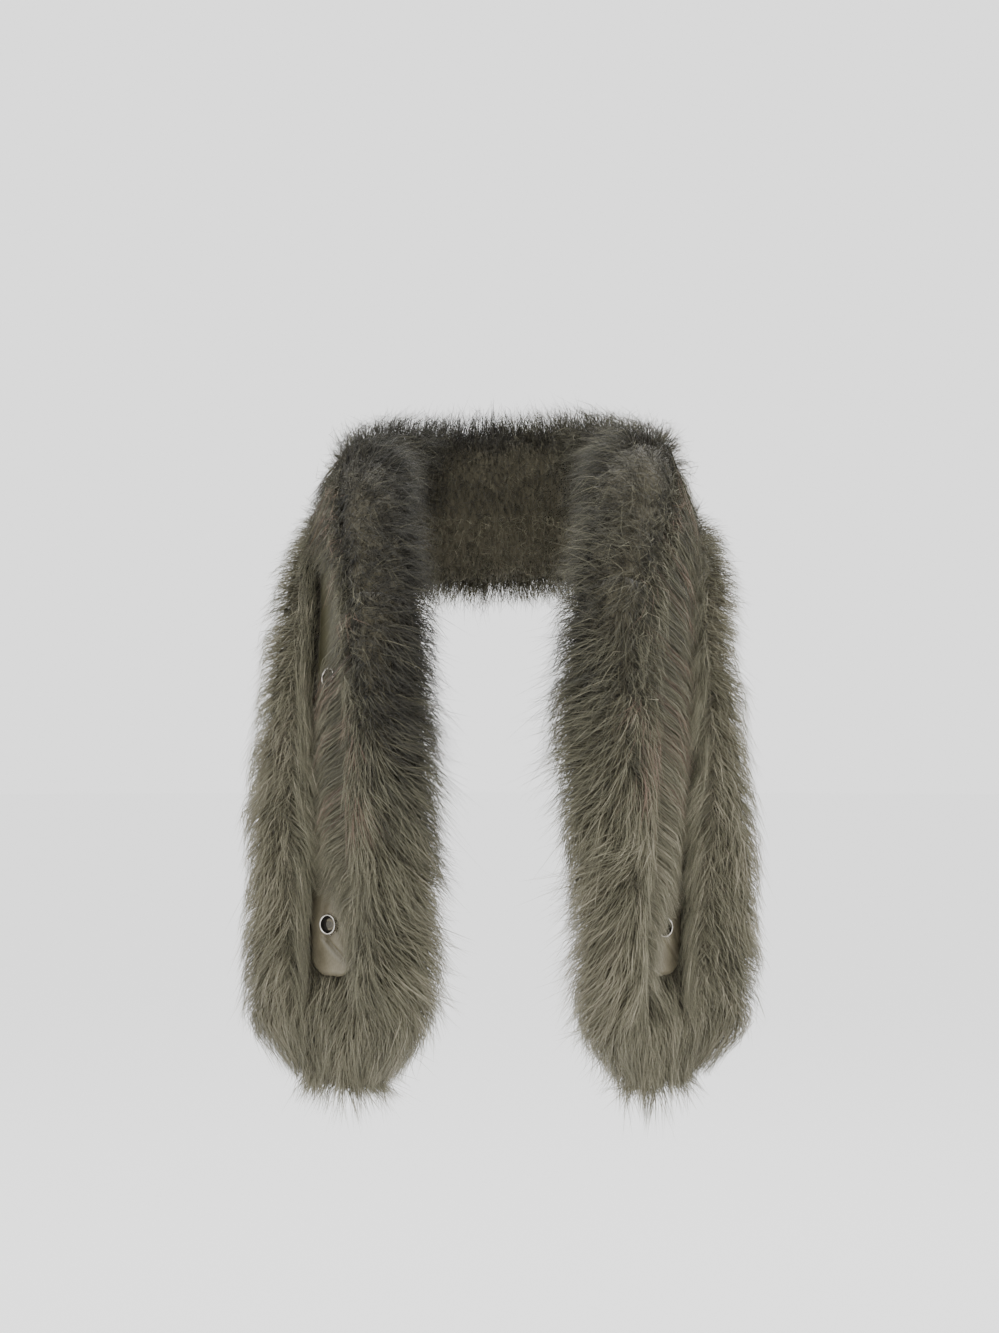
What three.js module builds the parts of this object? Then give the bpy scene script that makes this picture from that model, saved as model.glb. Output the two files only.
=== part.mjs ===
// Fur collar wrap: a strip of long-haired fur, worn open round the neck with both ends on the chest.
// Millimetres, +Z up, the wearer faces -Y. The origin is at the nape, in the middle of the inner face.
import * as THREE from "three";

// Driving sizes of the fur strip
const SEAM_GAP = 0.3; // between neighbouring pieces
const STEP = 8; // spacing of the sections along the strip
const FLOOR_RISE = 8; // the bottom of the groove above the strip's centreline
const FLOOR_HALF = 16.5; // half of the flat width that the tape is sewn on
const CORE_DEPTH = -8; // centre of each section, from which all its points can be seen
const CREST_STEPS = 7; // points over the crest of each lobe
const CREST_START = 152; // degrees round the crest, where it rises from the groove
const CREST_END = 12; // and where it meets the edge
const BACK_STEPS = 6; // points from each edge to the middle of the inner face
const ROUNDNESS = 0.8; // 1 gives an ellipse, less gives a fuller section
const WALL_CLEARANCE = 2; // the hair beside the groove stands at least this far over its floor

// Driving sizes of the hair
const FAN = 56; // hair that hangs past the end of the tape
const FAN_WIDTH = 0.5; // share of the width left at the bottom of the fan
const FAN_WIDTH_CURVE = 3; // the fan stays wide and narrows late
const FAN_THICKNESS = 0.34; // share of the thickness left there
const FAN_THICKNESS_CURVE = 1.2;
const FAN_FILL = 0.86; // share of the crest's height that the groove fills up to below the tape
const FILL_FROM = 0.08; // where the groove starts to fill, as a share of the fan
const FILL_TO = 0.5; // and where it is full
const TIP_REACH = 15; // how far the longest locks stand out of the fan's end
const TIP_LEAST = 0.55; // the shortest of them, as a share of the longest
const TIP_NOTCH = -0.2; // how far the notches between them reach, in the same share
const LOCK_PITCH = 27; // length of one overlapping lock along the strip
const LOCK_RISE = 8; // how far a lock's tip stands over the root of the next
const LOCK_LEAST = 0.6; // the flattest lock, as a share of that rise
const LOCK_SPREAD = 0.7; // how much more the fullest one rises
const LOCK_SINK = 0.45; // how far the roots lie under the section's outline, in the same share
const LOCK_CURVE = 1.3; // a lock rises slowly at its root
const LOCK_STAGGER = 0.5; // neighbouring locks are half a lock apart
const LOCK_SLANT = 0.17; // and each row leans a little further down the strip
const PRESSED = 0.2; // share of the rise left on the inner face, which is pressed flat

// Driving sizes of the tape and its snap sockets
const TAPE_WIDTH = 29;
const TAPE_THICKNESS = 1.2;
const TAPE_PUFF = 1.3; // the tape is fuller along its middle
const TAPE_CORNER = 9; // radius of its rounded corners
const TAPE_STEP = 3; // spacing of its sections round a corner
const SNAP_COUNT = 7;
const SNAP_FROM_END = 26;
const SNAP_DIAMETER = 11.6;
const SNAP_HEIGHT = 3.2;
const SNAP_RIM_FLAT = 0.8; // width of the flat ring on top
const SNAP_MOUTH = 9; // diameter of the recess
const SNAP_RECESS = 2.2; // depth of the recess
const SNAP_SHOULDER = 0.55; // height at which its outside starts to round in, as a share of its height
const SNAP_TAPER = 0.86; // width of the recess's bottom as a share of its mouth
const SNAP_SIDES = 24;
const SNAP_LIFT = 0.25; // the tape curves away under a flat snap

// Places along the strip, from beside the nape to the end. x, y and z are its centreline in millimetres,
// facing is where the tape looks in degrees from the front round to the side and back, tilt is how far it
// looks up, upper and lower are the widths of its two lobes from the middle of the tape, and crest and inner
// are the depths to either side. The upper lobe is the one beside the neck.
const MIDDLE = [
  { at: "nape", x: 0, y: 29, z: 0, facing: 180, tilt: 8, upper: 50, lower: 48, crest: 26, inner: 29 },
];
const RIGHT = [
  { at: "behind", x: 50, y: 16, z: 3, facing: 147, tilt: 14, upper: 49, lower: 49, crest: 26, inner: 26 },
  { at: "neck", x: 81, y: -27, z: 2, facing: 108, tilt: 34, upper: 42, lower: 52, crest: 27, inner: 26 },
  { at: "shoulder", x: 88, y: -72, z: -18, facing: 76, tilt: 26, upper: 56, lower: 49, crest: 27, inner: 29 },
  { at: "clavicle", x: 86, y: -103, z: -66, facing: 56, tilt: 10, upper: 67, lower: 45, crest: 27, inner: 31 },
  { at: "chest", x: 86, y: -121, z: -118, facing: 46, tilt: 4, upper: 67, lower: 48, crest: 28, inner: 32 },
  { at: "bust", x: 84, y: -136, z: -170, facing: 42, tilt: 0, upper: 56, lower: 61, crest: 28, inner: 31 },
  { at: "tab", x: 79, y: -141, z: -222, facing: 40, tilt: 0, upper: 40, lower: 66, crest: 28, inner: 29 },
  { at: "fan", x: 82, y: -140, z: -306, facing: 40, tilt: 0, upper: 42, lower: 62, crest: 27, inner: 28 },
];
const LEFT = [
  { at: "behind", x: -50, y: 16, z: 1, facing: -147, tilt: 14, upper: 47, lower: 49, crest: 26, inner: 26 },
  { at: "neck", x: -76, y: -27, z: 1, facing: -108, tilt: 34, upper: 40, lower: 46, crest: 25, inner: 25 },
  { at: "shoulder", x: -80, y: -72, z: -22, facing: -76, tilt: 24, upper: 51, lower: 45, crest: 26, inner: 27 },
  { at: "clavicle", x: -79, y: -103, z: -68, facing: -56, tilt: 10, upper: 53, lower: 53, crest: 27, inner: 30 },
  { at: "chest", x: -79, y: -121, z: -120, facing: -47, tilt: 4, upper: 52, lower: 58, crest: 27, inner: 30 },
  { at: "bust", x: -80, y: -136, z: -172, facing: -40, tilt: 0, upper: 52, lower: 56, crest: 27, inner: 30 },
  { at: "tab", x: -80, y: -141, z: -224, facing: -36, tilt: 0, upper: 52, lower: 54, crest: 27, inner: 30 },
  { at: "fan", x: -80, y: -140, z: -306, facing: -36, tilt: 0, upper: 53, lower: 62, crest: 27, inner: 28 },
];

// The fur is pieced here on each side, where the strip passes from the neck to the chest
const SEAM_AT = "clavicle";

const DEGREE = Math.PI / 180;
const PLACES = [...LEFT.toReversed(), ...MIDDLE, ...RIGHT];

// Smooth curves through the places: the centreline, the facing direction and the section's sizes
const centreline = curveThrough((row) => new THREE.Vector3(row.x, row.y, row.z));
const facings = curveThrough(facingOf);
const widths = curveThrough((row) => new THREE.Vector3(row.upper, row.lower, 0));
const depths = curveThrough((row) => new THREE.Vector3(row.crest, row.inner, 0));
centreline.arcLengthDivisions = 600;
const LENGTH = centreline.getLength();
const TAPE_FROM = FAN;
const TAPE_TO = LENGTH - FAN;

function curveThrough(read) {
  return new THREE.CatmullRomCurve3(PLACES.map(read));
}

function facingOf(row) {
  const level = Math.cos(row.tilt * DEGREE);
  const turn = row.facing * DEGREE;
  return new THREE.Vector3(Math.sin(turn) * level, -Math.cos(turn) * level, Math.sin(row.tilt * DEGREE));
}

// A number from 0 to 1 that is the same each time for the same lock
function chance(lock, column) {
  const wave = Math.sin(lock * 127.1 + column * 311.7) * 43758.5453;
  return wave - Math.floor(wave);
}

// The frame of the strip at a distance along it: its place, and the ways along, out and across
function frameAt(distance) {
  const t = centreline.getUtoTmapping(0, distance);
  const place = centreline.getPoint(t);
  const along = centreline.getTangent(t);
  const out = facings.getPoint(t);
  out.addScaledVector(along, -out.dot(along)).normalize();
  const across = new THREE.Vector3().crossVectors(out, along).normalize();
  const width = widths.getPoint(t);
  const depth = depths.getPoint(t);
  return { place, along, out, across, upper: width.x, lower: width.y, crest: depth.x, inner: depth.y };
}

function pointIn(frame, across, out, along = 0) {
  return frame.place
    .clone()
    .addScaledVector(frame.across, across)
    .addScaledVector(frame.out, out)
    .addScaledVector(frame.along, along);
}

// One lobe of a section, from the edge of the groove over its crest and round to the inner face. Each point
// says how far it is across and out, and how much of the hair's relief it takes.
function lobe(half, { crest, inner, floor }) {
  const radius = (half - FLOOR_HALF) / 2;
  const points = [{ across: FLOOR_HALF, out: floor, hair: 0 }];
  for (let k = 0; k < CREST_STEPS; k++) {
    const turn = THREE.MathUtils.lerp(CREST_START, CREST_END, k / (CREST_STEPS - 1)) * DEGREE;
    const out = Math.max(crest * Math.sin(turn) ** ROUNDNESS, floor + WALL_CLEARANCE);
    points.push({ across: FLOOR_HALF + radius * (1 + Math.cos(turn)), out, hair: Math.sin(turn / 2) ** 0.5 });
  }
  for (let k = 1; k <= BACK_STEPS; k++) {
    const turn = ((k - 0.5) / BACK_STEPS) * 90 * DEGREE;
    points.push({
      across: half * Math.cos(turn) ** ROUNDNESS,
      out: -inner * Math.sin(turn) ** ROUNDNESS,
      hair: THREE.MathUtils.lerp(1, PRESSED, k / BACK_STEPS),
    });
  }
  return points;
}

// The outline of a section: the floor of the groove, the lower lobe and back round the upper one
function outline(upper, lower, depth) {
  const floor = [-FLOOR_HALF / 2, 0, FLOOR_HALF / 2].map((across) => ({ across, out: depth.floor, hair: 0 }));
  const far = lobe(upper, depth).map((point) => ({ ...point, across: -point.across }));
  return [...floor, ...lobe(lower, depth), ...far.toReversed()];
}

// Hair lies in overlapping locks that point away from the nape, so each lock rises to its tip and drops
function lockRelief(distance, column) {
  const flow = Math.abs(distance - LENGTH / 2);
  const phase = flow / LOCK_PITCH + (column % 2) * LOCK_STAGGER + column * LOCK_SLANT;
  const lock = Math.floor(phase);
  const rise = (phase - lock) ** LOCK_CURVE;
  return LOCK_RISE * (rise * (LOCK_LEAST + LOCK_SPREAD * chance(lock, column)) - LOCK_SINK);
}

// How far past the end of the tape a distance lies, from 0 at the tape to 1 at the bottom of the fan
function pastTape(distance) {
  return Math.max(TAPE_FROM - distance, distance - TAPE_TO, 0) / FAN;
}

// One section of the fur. Past the end of the tape the groove fills up, and the fan grows narrow and thin.
function furSection(distance, reach = 0) {
  const frame = frameAt(distance);
  const past = pastTape(distance);
  const narrow = 1 - (1 - FAN_WIDTH) * past ** FAN_WIDTH_CURVE;
  const thin = 1 - (1 - FAN_THICKNESS) * past ** FAN_THICKNESS_CURVE;
  const crest = frame.crest * thin;
  const filled = THREE.MathUtils.smoothstep(past, FILL_FROM, FILL_TO);
  const floor = THREE.MathUtils.lerp(FLOOR_RISE, crest * FAN_FILL, filled);
  const depth = { crest, inner: frame.inner * thin, floor };
  const points = outline(frame.upper * narrow, frame.lower * narrow, depth);
  const toEnd = distance < LENGTH / 2 ? -1 : 1;
  return points.map((point, column) => {
    const relief = 1 + (point.hair * lockRelief(distance, column)) / Math.hypot(point.across, point.out);
    const share = column % 2 ? THREE.MathUtils.lerp(TIP_LEAST, 1, chance(0, column)) : TIP_NOTCH;
    return pointIn(frame, point.across * relief, point.out * relief, reach * share * toEnd);
  });
}

// Closed skin through rings of points, with a flat fan over each end
function skin(rings, capStart, capEnd) {
  const count = rings[0].length;
  const points = [...rings.flat(), capStart, capEnd];
  const startCentre = points.length - 2;
  const endCentre = points.length - 1;
  const last = (rings.length - 1) * count;
  const index = [];
  for (let j = 0; j < count; j++) {
    const next = (j + 1) % count;
    for (let i = 0; i < rings.length - 1; i++) {
      const here = i * count;
      const there = here + count;
      index.push(here + j, there + next, here + next, here + j, there + j, there + next);
    }
    index.push(startCentre, j, next);
    index.push(endCentre, last + next, last + j);
  }
  const geometry = new THREE.BufferGeometry();
  geometry.setAttribute("position", new THREE.Float32BufferAttribute(points.flatMap((p) => p.toArray()), 3));
  geometry.setIndex(index);
  geometry.computeVertexNormals();
  return geometry;
}

// Distances along the strip from one end of a piece to the other, about a step apart
function stations(from, to, step) {
  const count = Math.max(1, Math.round((to - from) / step));
  return Array.from({ length: count + 1 }, (_, i) => from + ((to - from) * i) / count);
}

function furStretch(name, from, to) {
  const distances = stations(from, to, STEP);
  const rings = distances.map((distance) => {
    const atTip = distance === 0 || distance === LENGTH;
    return furSection(distance, atTip ? TIP_REACH : 0);
  });
  const capStart = pointIn(frameAt(from), 0, from === 0 ? 0 : CORE_DEPTH);
  const capEnd = pointIn(frameAt(to), 0, to === LENGTH ? 0 : CORE_DEPTH);
  return piece(name, skin(rings, capStart, capEnd), furMaterial);
}

// The tape's half width, which rounds off its corners at each end
function tapeHalf(distance) {
  const inward = Math.min(distance - TAPE_FROM, TAPE_TO - distance);
  const short = Math.max(0, TAPE_CORNER - inward);
  return TAPE_WIDTH / 2 - TAPE_CORNER + Math.sqrt(TAPE_CORNER ** 2 - short ** 2);
}

// How high the tape's face stands over the groove's floor at a point across it
function tapeFace(across) {
  return SEAM_GAP + TAPE_THICKNESS + TAPE_PUFF * Math.cos((across / TAPE_WIDTH) * Math.PI) ** 2;
}

function tapeSection(distance) {
  const frame = frameAt(distance);
  const half = tapeHalf(distance);
  const columns = [-1, -0.5, 0, 0.5, 1].map((share) => share * half);
  const over = columns.map((across) => pointIn(frame, across, FLOOR_RISE + tapeFace(across)));
  const under = columns.toReversed().map((across) => pointIn(frame, across, FLOOR_RISE + SEAM_GAP));
  return [...over, ...under];
}

function tapeStations() {
  return [
    ...stations(TAPE_FROM, TAPE_FROM + TAPE_CORNER, TAPE_STEP).slice(0, -1),
    ...stations(TAPE_FROM + TAPE_CORNER, TAPE_TO - TAPE_CORNER, STEP),
    ...stations(TAPE_TO - TAPE_CORNER, TAPE_TO, TAPE_STEP).slice(1),
  ];
}

function tape() {
  const middle = FLOOR_RISE + SEAM_GAP + TAPE_THICKNESS / 2;
  const rings = tapeStations().map(tapeSection);
  const capStart = pointIn(frameAt(TAPE_FROM), 0, middle);
  const capEnd = pointIn(frameAt(TAPE_TO), 0, middle);
  return piece("tape", skin(rings, capStart, capEnd), tapeMaterial);
}

// A snap socket: a round collar with a flat rim and a shallow recess
function snapGeometry() {
  const outer = SNAP_DIAMETER / 2;
  const mouth = SNAP_MOUTH / 2;
  const profile = [
    [0, 0],
    [outer, 0],
    [outer, SNAP_HEIGHT * SNAP_SHOULDER],
    [mouth + SNAP_RIM_FLAT, SNAP_HEIGHT],
    [mouth, SNAP_HEIGHT],
    [mouth * SNAP_TAPER, SNAP_HEIGHT - SNAP_RECESS],
    [0, SNAP_HEIGHT - SNAP_RECESS],
  ].map(([radius, height]) => new THREE.Vector2(radius, height));
  return new THREE.LatheGeometry(profile, SNAP_SIDES).rotateX(Math.PI / 2);
}

// Distances along the strip at which the snaps sit, evenly spaced along the tape's outer face
function snapDistances() {
  const steps = stations(TAPE_FROM, TAPE_TO, 1);
  const face = steps.map((distance) => pointIn(frameAt(distance), 0, FLOOR_RISE));
  const lengths = [0];
  for (let i = 1; i < face.length; i++) {
    lengths.push(lengths[i - 1] + face[i].distanceTo(face[i - 1]));
  }
  const gap = (lengths.at(-1) - 2 * SNAP_FROM_END) / (SNAP_COUNT - 1);
  return Array.from({ length: SNAP_COUNT }, (_, i) => {
    const wanted = SNAP_FROM_END + gap * i;
    return steps[lengths.findIndex((length) => length >= wanted)];
  });
}

function snap(name, distance) {
  const frame = frameAt(distance);
  const mesh = piece(name, snapGeometry(), metalMaterial);
  const turn = new THREE.Matrix4().makeBasis(frame.along, frame.across, frame.out);
  mesh.quaternion.setFromRotationMatrix(turn);
  mesh.position.copy(pointIn(frame, 0, FLOOR_RISE + tapeFace(0) + SEAM_GAP + SNAP_LIFT));
  return mesh;
}

function piece(name, geometry, material) {
  const mesh = new THREE.Mesh(geometry, material);
  mesh.name = name;
  return mesh;
}

const furMaterial = new THREE.MeshStandardMaterial({ color: "#6a6556", roughness: 0.9, metalness: 0 });
const tapeMaterial = new THREE.MeshStandardMaterial({ color: "#7d7767", roughness: 0.55, metalness: 0 });
const metalMaterial = new THREE.MeshStandardMaterial({ color: "#8f8b86", roughness: 0.3, metalness: 1 });

// Distance along the strip of the seam on one side
function seamOn(side) {
  const row = side.find((place) => place.at === SEAM_AT);
  const seam = new THREE.Vector3(row.x, row.y, row.z);
  const away = (distance) => frameAt(distance).place.distanceTo(seam);
  return stations(0, LENGTH, 1).reduce((best, here) => (away(here) < away(best) ? here : best));
}

const leftSeam = seamOn(LEFT);
const rightSeam = seamOn(RIGHT);

const collar = new THREE.Group();
collar.add(furStretch("fur_front_left", 0, leftSeam - SEAM_GAP / 2));
collar.add(furStretch("fur_neck", leftSeam + SEAM_GAP / 2, rightSeam - SEAM_GAP / 2));
collar.add(furStretch("fur_front_right", rightSeam + SEAM_GAP / 2, LENGTH));
collar.add(tape());
snapDistances().forEach((distance, i) => collar.add(snap(`snap_${i + 1}`, distance)));

export default collar;
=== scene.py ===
import math

import bmesh
import bpy
import numpy as np
from mathutils import Matrix, Vector


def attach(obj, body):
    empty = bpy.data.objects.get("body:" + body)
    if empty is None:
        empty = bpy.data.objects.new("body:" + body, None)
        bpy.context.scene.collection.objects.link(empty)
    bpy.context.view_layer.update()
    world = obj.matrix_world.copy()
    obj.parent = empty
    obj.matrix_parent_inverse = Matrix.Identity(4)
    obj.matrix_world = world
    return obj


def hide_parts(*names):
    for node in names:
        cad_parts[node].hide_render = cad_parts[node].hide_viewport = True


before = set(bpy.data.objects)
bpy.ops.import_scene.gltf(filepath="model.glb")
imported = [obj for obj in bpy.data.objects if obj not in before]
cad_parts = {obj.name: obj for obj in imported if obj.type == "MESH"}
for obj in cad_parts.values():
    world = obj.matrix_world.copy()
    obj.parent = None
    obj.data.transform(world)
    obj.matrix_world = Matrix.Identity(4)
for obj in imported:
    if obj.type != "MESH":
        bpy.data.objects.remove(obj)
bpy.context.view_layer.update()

bl_info = {
    "name": "Fur Collar Wrap",
    "version": (1, 0, 0),
    "blender": (4, 5, 0),
    "location": "View3D > Sidebar > Collar",
    "description": "A long-haired fur trim strip worn as a collar, with its snap tape",
    "category": "Object",
}

MM = 0.001
FRONTS = {"left": "fur_front_left", "right": "fur_front_right"}
NECK = "fur_neck"

# The strip's sections from the end at the viewer's left, round the nape, to the end at the right, in
# millimetres and degrees: centreline x, y, z, the way that the tape faces, how far it looks up, the widths
# of the upper and the lower lobe, and the depths over and under the centreline.
SECTIONS = np.array(
    [
        (-80, -140, -306, -36, 0, 53, 62, 27, 28),
        (-80, -141, -224, -36, 0, 52, 54, 27, 30),
        (-80, -136, -172, -40, 0, 52, 56, 27, 30),
        (-79, -121, -120, -47, 4, 52, 58, 27, 30),
        (-79, -103, -68, -56, 10, 53, 53, 27, 30),
        (-80, -72, -22, -76, 24, 51, 45, 26, 27),
        (-76, -27, 1, -108, 34, 40, 46, 25, 25),
        (-50, 16, 1, -147, 14, 47, 49, 26, 26),
        (0, 29, 0, 180, 8, 50, 48, 26, 29),
        (50, 16, 3, 147, 14, 49, 49, 26, 26),
        (81, -27, 2, 108, 34, 42, 52, 27, 26),
        (88, -72, -18, 76, 26, 56, 49, 27, 29),
        (86, -103, -66, 56, 10, 67, 45, 27, 31),
        (86, -121, -118, 46, 4, 67, 48, 28, 32),
        (84, -136, -170, 42, 0, 56, 61, 28, 31),
        (79, -141, -222, 40, 0, 40, 66, 28, 29),
        (82, -140, -306, 40, 0, 42, 62, 27, 28),
    ],
    float,
)
SEAM_ROWS = (4, 12)  # the sections at which the fur is pieced

# The solids' sizes, in millimetres, degrees and shares
SEAM_GAP = 0.3
STEP = 8.0  # from section to section along the strip
FLOOR_RISE, FLOOR_HALF = 8.0, 16.5  # the groove's floor over the centreline, and half its width
CREST_STEPS = 7
CREST_START, CREST_END = 152.0, 12.0
BACK_STEPS = 6
ROUNDNESS = 0.8  # the power of a lobe's rounding, under 1 for a fuller one
WALL_CLEARANCE = 2.0  # how far a lobe stands over the groove's floor at the least
FAN = 56.0  # how far each end goes on past the tape
FAN_WIDTH, FAN_WIDTH_CURVE = 0.5, 3.0
FAN_THICKNESS, FAN_THICKNESS_CURVE = 0.34, 1.2
FAN_FILL, FILL_FROM, FILL_TO = 0.86, 0.08, 0.5  # how the hair fills the groove in the fan
LOCK_PITCH, LOCK_RISE, LOCK_LEAST, LOCK_SPREAD = 27.0, 8.0, 0.6, 0.7
LOCK_SINK, LOCK_CURVE, LOCK_STAGGER, LOCK_SLANT = 0.45, 1.3, 0.5, 0.17
PRESSED = 0.2  # the share of the locks' relief that is left on the inner face
TAPE_WIDTH, TAPE_THICKNESS, TAPE_PUFF = 29.0, 1.2, 1.3
TAPE_LIFT = 0.5
SNAP_COUNT, SNAP_FROM_END, SNAP_LIFT = 7, 26.0, 0.25
ARC_DIVISIONS = 600
LEAST_GAP, NUDGE = 1e-4, 1e-4


def smoothstep(x, low, high):
    """0 up to low, 1 from high on, and smooth between them."""
    share = np.clip((np.asarray(x, float) - low) / (high - low), 0, 1)
    return share * share * (3 - 2 * share)


def through(points, t):
    """The points of a centripetal Catmull-Rom curve at shares t of its rows."""
    last = len(points) - 1
    padded = np.vstack([2 * points[0] - points[1], points, 2 * points[-1] - points[-2]])
    t = np.atleast_1d(np.asarray(t, float))
    row = np.clip((t * last).astype(int), 0, last - 1)
    w = (t * last - row)[:, None]
    x0, x1, x2, x3 = (padded[row + k] for k in range(4))
    d0, d1, d2 = ((((b - a) ** 2).sum(1) ** 0.25)[:, None] for a, b in ((x0, x1), (x1, x2), (x2, x3)))
    d1 = np.where(d1 < LEAST_GAP, 1.0, d1)
    d0, d2 = np.where(d0 < LEAST_GAP, d1, d0), np.where(d2 < LEAST_GAP, d1, d2)
    t1 = ((x1 - x0) / d0 - (x2 - x0) / (d0 + d1) + (x2 - x1) / d1) * d1
    t2 = ((x2 - x1) / d1 - (x3 - x1) / (d1 + d2) + (x3 - x2) / d2) * d1
    c2, c3 = -3 * x1 + 3 * x2 - 2 * t1 - t2, 2 * x1 - 2 * x2 + t1 + t2
    return x1 + t1 * w + c2 * w**2 + c3 * w**3


def facing_of(rows):
    """The way that the tape faces at each section, as a vector."""
    turn, tilt = np.radians(rows[:, 3]), np.radians(rows[:, 4])
    return np.stack([np.sin(turn) * np.cos(tilt), -np.cos(turn) * np.cos(tilt), np.sin(tilt)], 1)


CENTRES, FACINGS = SECTIONS[:, :3], facing_of(SECTIONS)
ARC_SHARES = np.linspace(0, 1, ARC_DIVISIONS + 1)
ARC_LENGTHS = np.concatenate(
    [[0.0], np.cumsum(np.linalg.norm(np.diff(through(CENTRES, ARC_SHARES), axis=0), axis=1))]
)
LENGTH = ARC_LENGTHS[-1]
HALF = LENGTH / 2
TAPE_FROM, TAPE_TO = FAN, LENGTH - FAN


def unit(v):
    """Vectors with their length made 1."""
    return v / np.linalg.norm(v, axis=-1, keepdims=True)


def frames_at(distance):
    """Places along the strip, with the ways along, across and out, and the four sizes of the section."""
    t = np.interp(distance, ARC_LENGTHS, ARC_SHARES)
    place = through(CENTRES, t)
    ahead, behind = np.minimum(t + NUDGE, 1), np.maximum(t - NUDGE, 0)
    along = unit(through(CENTRES, ahead) - through(CENTRES, behind))
    out = through(FACINGS, t)
    out = unit(out - (out * along).sum(1, keepdims=True) * along)
    across = unit(np.cross(out, along))
    return place, along, across, out, through(SECTIONS[:, 5:], t)


def chance(lock, column):
    """A number from 0 to 1 that looks random and depends on nothing but the two given."""
    wave = np.sin(lock * 127.1 + column * 311.7) * 43758.5453
    return wave - np.floor(wave)


def lobe(half, crest, inner, floor):
    """One lobe of each section: across, out and the share of the hair's relief, one column each."""
    radius = (half - FLOOR_HALF) / 2
    points = [(np.full_like(half, FLOOR_HALF), floor, 0.0)]
    for k in range(CREST_STEPS):
        turn = math.radians(CREST_START + (CREST_END - CREST_START) * k / (CREST_STEPS - 1))
        rise = np.maximum(crest * math.sin(turn) ** ROUNDNESS, floor + WALL_CLEARANCE)
        points.append((FLOOR_HALF + radius * (1 + math.cos(turn)), rise, math.sin(turn / 2) ** 0.5))
    for k in range(1, BACK_STEPS + 1):
        turn = math.radians((k - 0.5) / BACK_STEPS * 90)
        share = 1 + (PRESSED - 1) * k / BACK_STEPS
        points.append((half * math.cos(turn) ** ROUNDNESS, -inner * math.sin(turn) ** ROUNDNESS, share))
    return points


def lock_relief(distance, column):
    """How far the locks stand out: each rises towards its tip, and its neighbour starts half a lock on."""
    phase = np.abs(distance - HALF) / LOCK_PITCH + (column % 2) * LOCK_STAGGER + column * LOCK_SLANT
    lock = np.floor(phase)
    rise = (phase - lock) ** LOCK_CURVE
    return LOCK_RISE * (rise * (LOCK_LEAST + LOCK_SPREAD * chance(lock, column)) - LOCK_SINK)


def local_sections(distance):
    """The closed outline of each section in its own frame: across, out and relief share, 31 columns."""
    sizes = frames_at(distance)[4]
    past = np.maximum(np.maximum(TAPE_FROM - distance, distance - TAPE_TO), 0) / FAN
    narrow = 1 - (1 - FAN_WIDTH) * past**FAN_WIDTH_CURVE
    thin = 1 - (1 - FAN_THICKNESS) * past**FAN_THICKNESS_CURVE
    crest, inner = sizes[:, 2] * thin, sizes[:, 3] * thin
    filled = smoothstep(past, FILL_FROM, FILL_TO)
    floor = FLOOR_RISE + (crest * FAN_FILL - FLOOR_RISE) * filled
    flat = [(np.full_like(floor, a), floor, 0.0) for a in (-FLOOR_HALF / 2, 0, FLOOR_HALF / 2)]
    near = lobe(sizes[:, 1] * narrow, crest, inner, floor)
    far = [(-a, o, h) for a, o, h in lobe(sizes[:, 0] * narrow, crest, inner, floor)][::-1]
    columns = flat + near + far
    across = np.stack([c[0] for c in columns], 1)
    out = np.stack([c[1] for c in columns], 1)
    hair = np.stack([np.full(len(distance), c[2]) for c in columns], 1)
    relief = lock_relief(distance[:, None], np.arange(len(columns))[None, :])
    swell = 1 + hair * relief / np.hypot(across, out)
    return across * swell, out * swell, thin, filled, narrow


def seams():
    """The distances along the strip at which its three stretches meet."""
    steps = np.linspace(0, LENGTH, round(LENGTH) + 1)
    places = frames_at(steps)[0]
    return [steps[np.linalg.norm(places - CENTRES[row], axis=1).argmin()] for row in SEAM_ROWS]


SEAMS = seams()
STRETCHES = {
    "left": (0.0, SEAMS[0] - SEAM_GAP / 2),
    "neck": (SEAMS[0] + SEAM_GAP / 2, SEAMS[1] - SEAM_GAP / 2),
    "right": (SEAMS[1] + SEAM_GAP / 2, LENGTH),
}


def stations(start, end, step):
    """Evenly spaced distances with both ends, about a step apart."""
    return np.linspace(start, end, max(1, round((end - start) / step)) + 1)


# Where the hair lies lower or fuller than the solids: distance, spread and change in millimetres, for the
# lower lobe and the upper one
TRIMS = (
    [(331.0, 20.0, -8.0), (592.0, 18.0, -8.0), (0.0, 22.0, -12.0), (LENGTH + 4, 16.0, -14.0)],
    [(611.0, 20.0, 6.0), (0.0, 14.0, -6.0), (LENGTH, 14.0, -9.0)],
)


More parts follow.
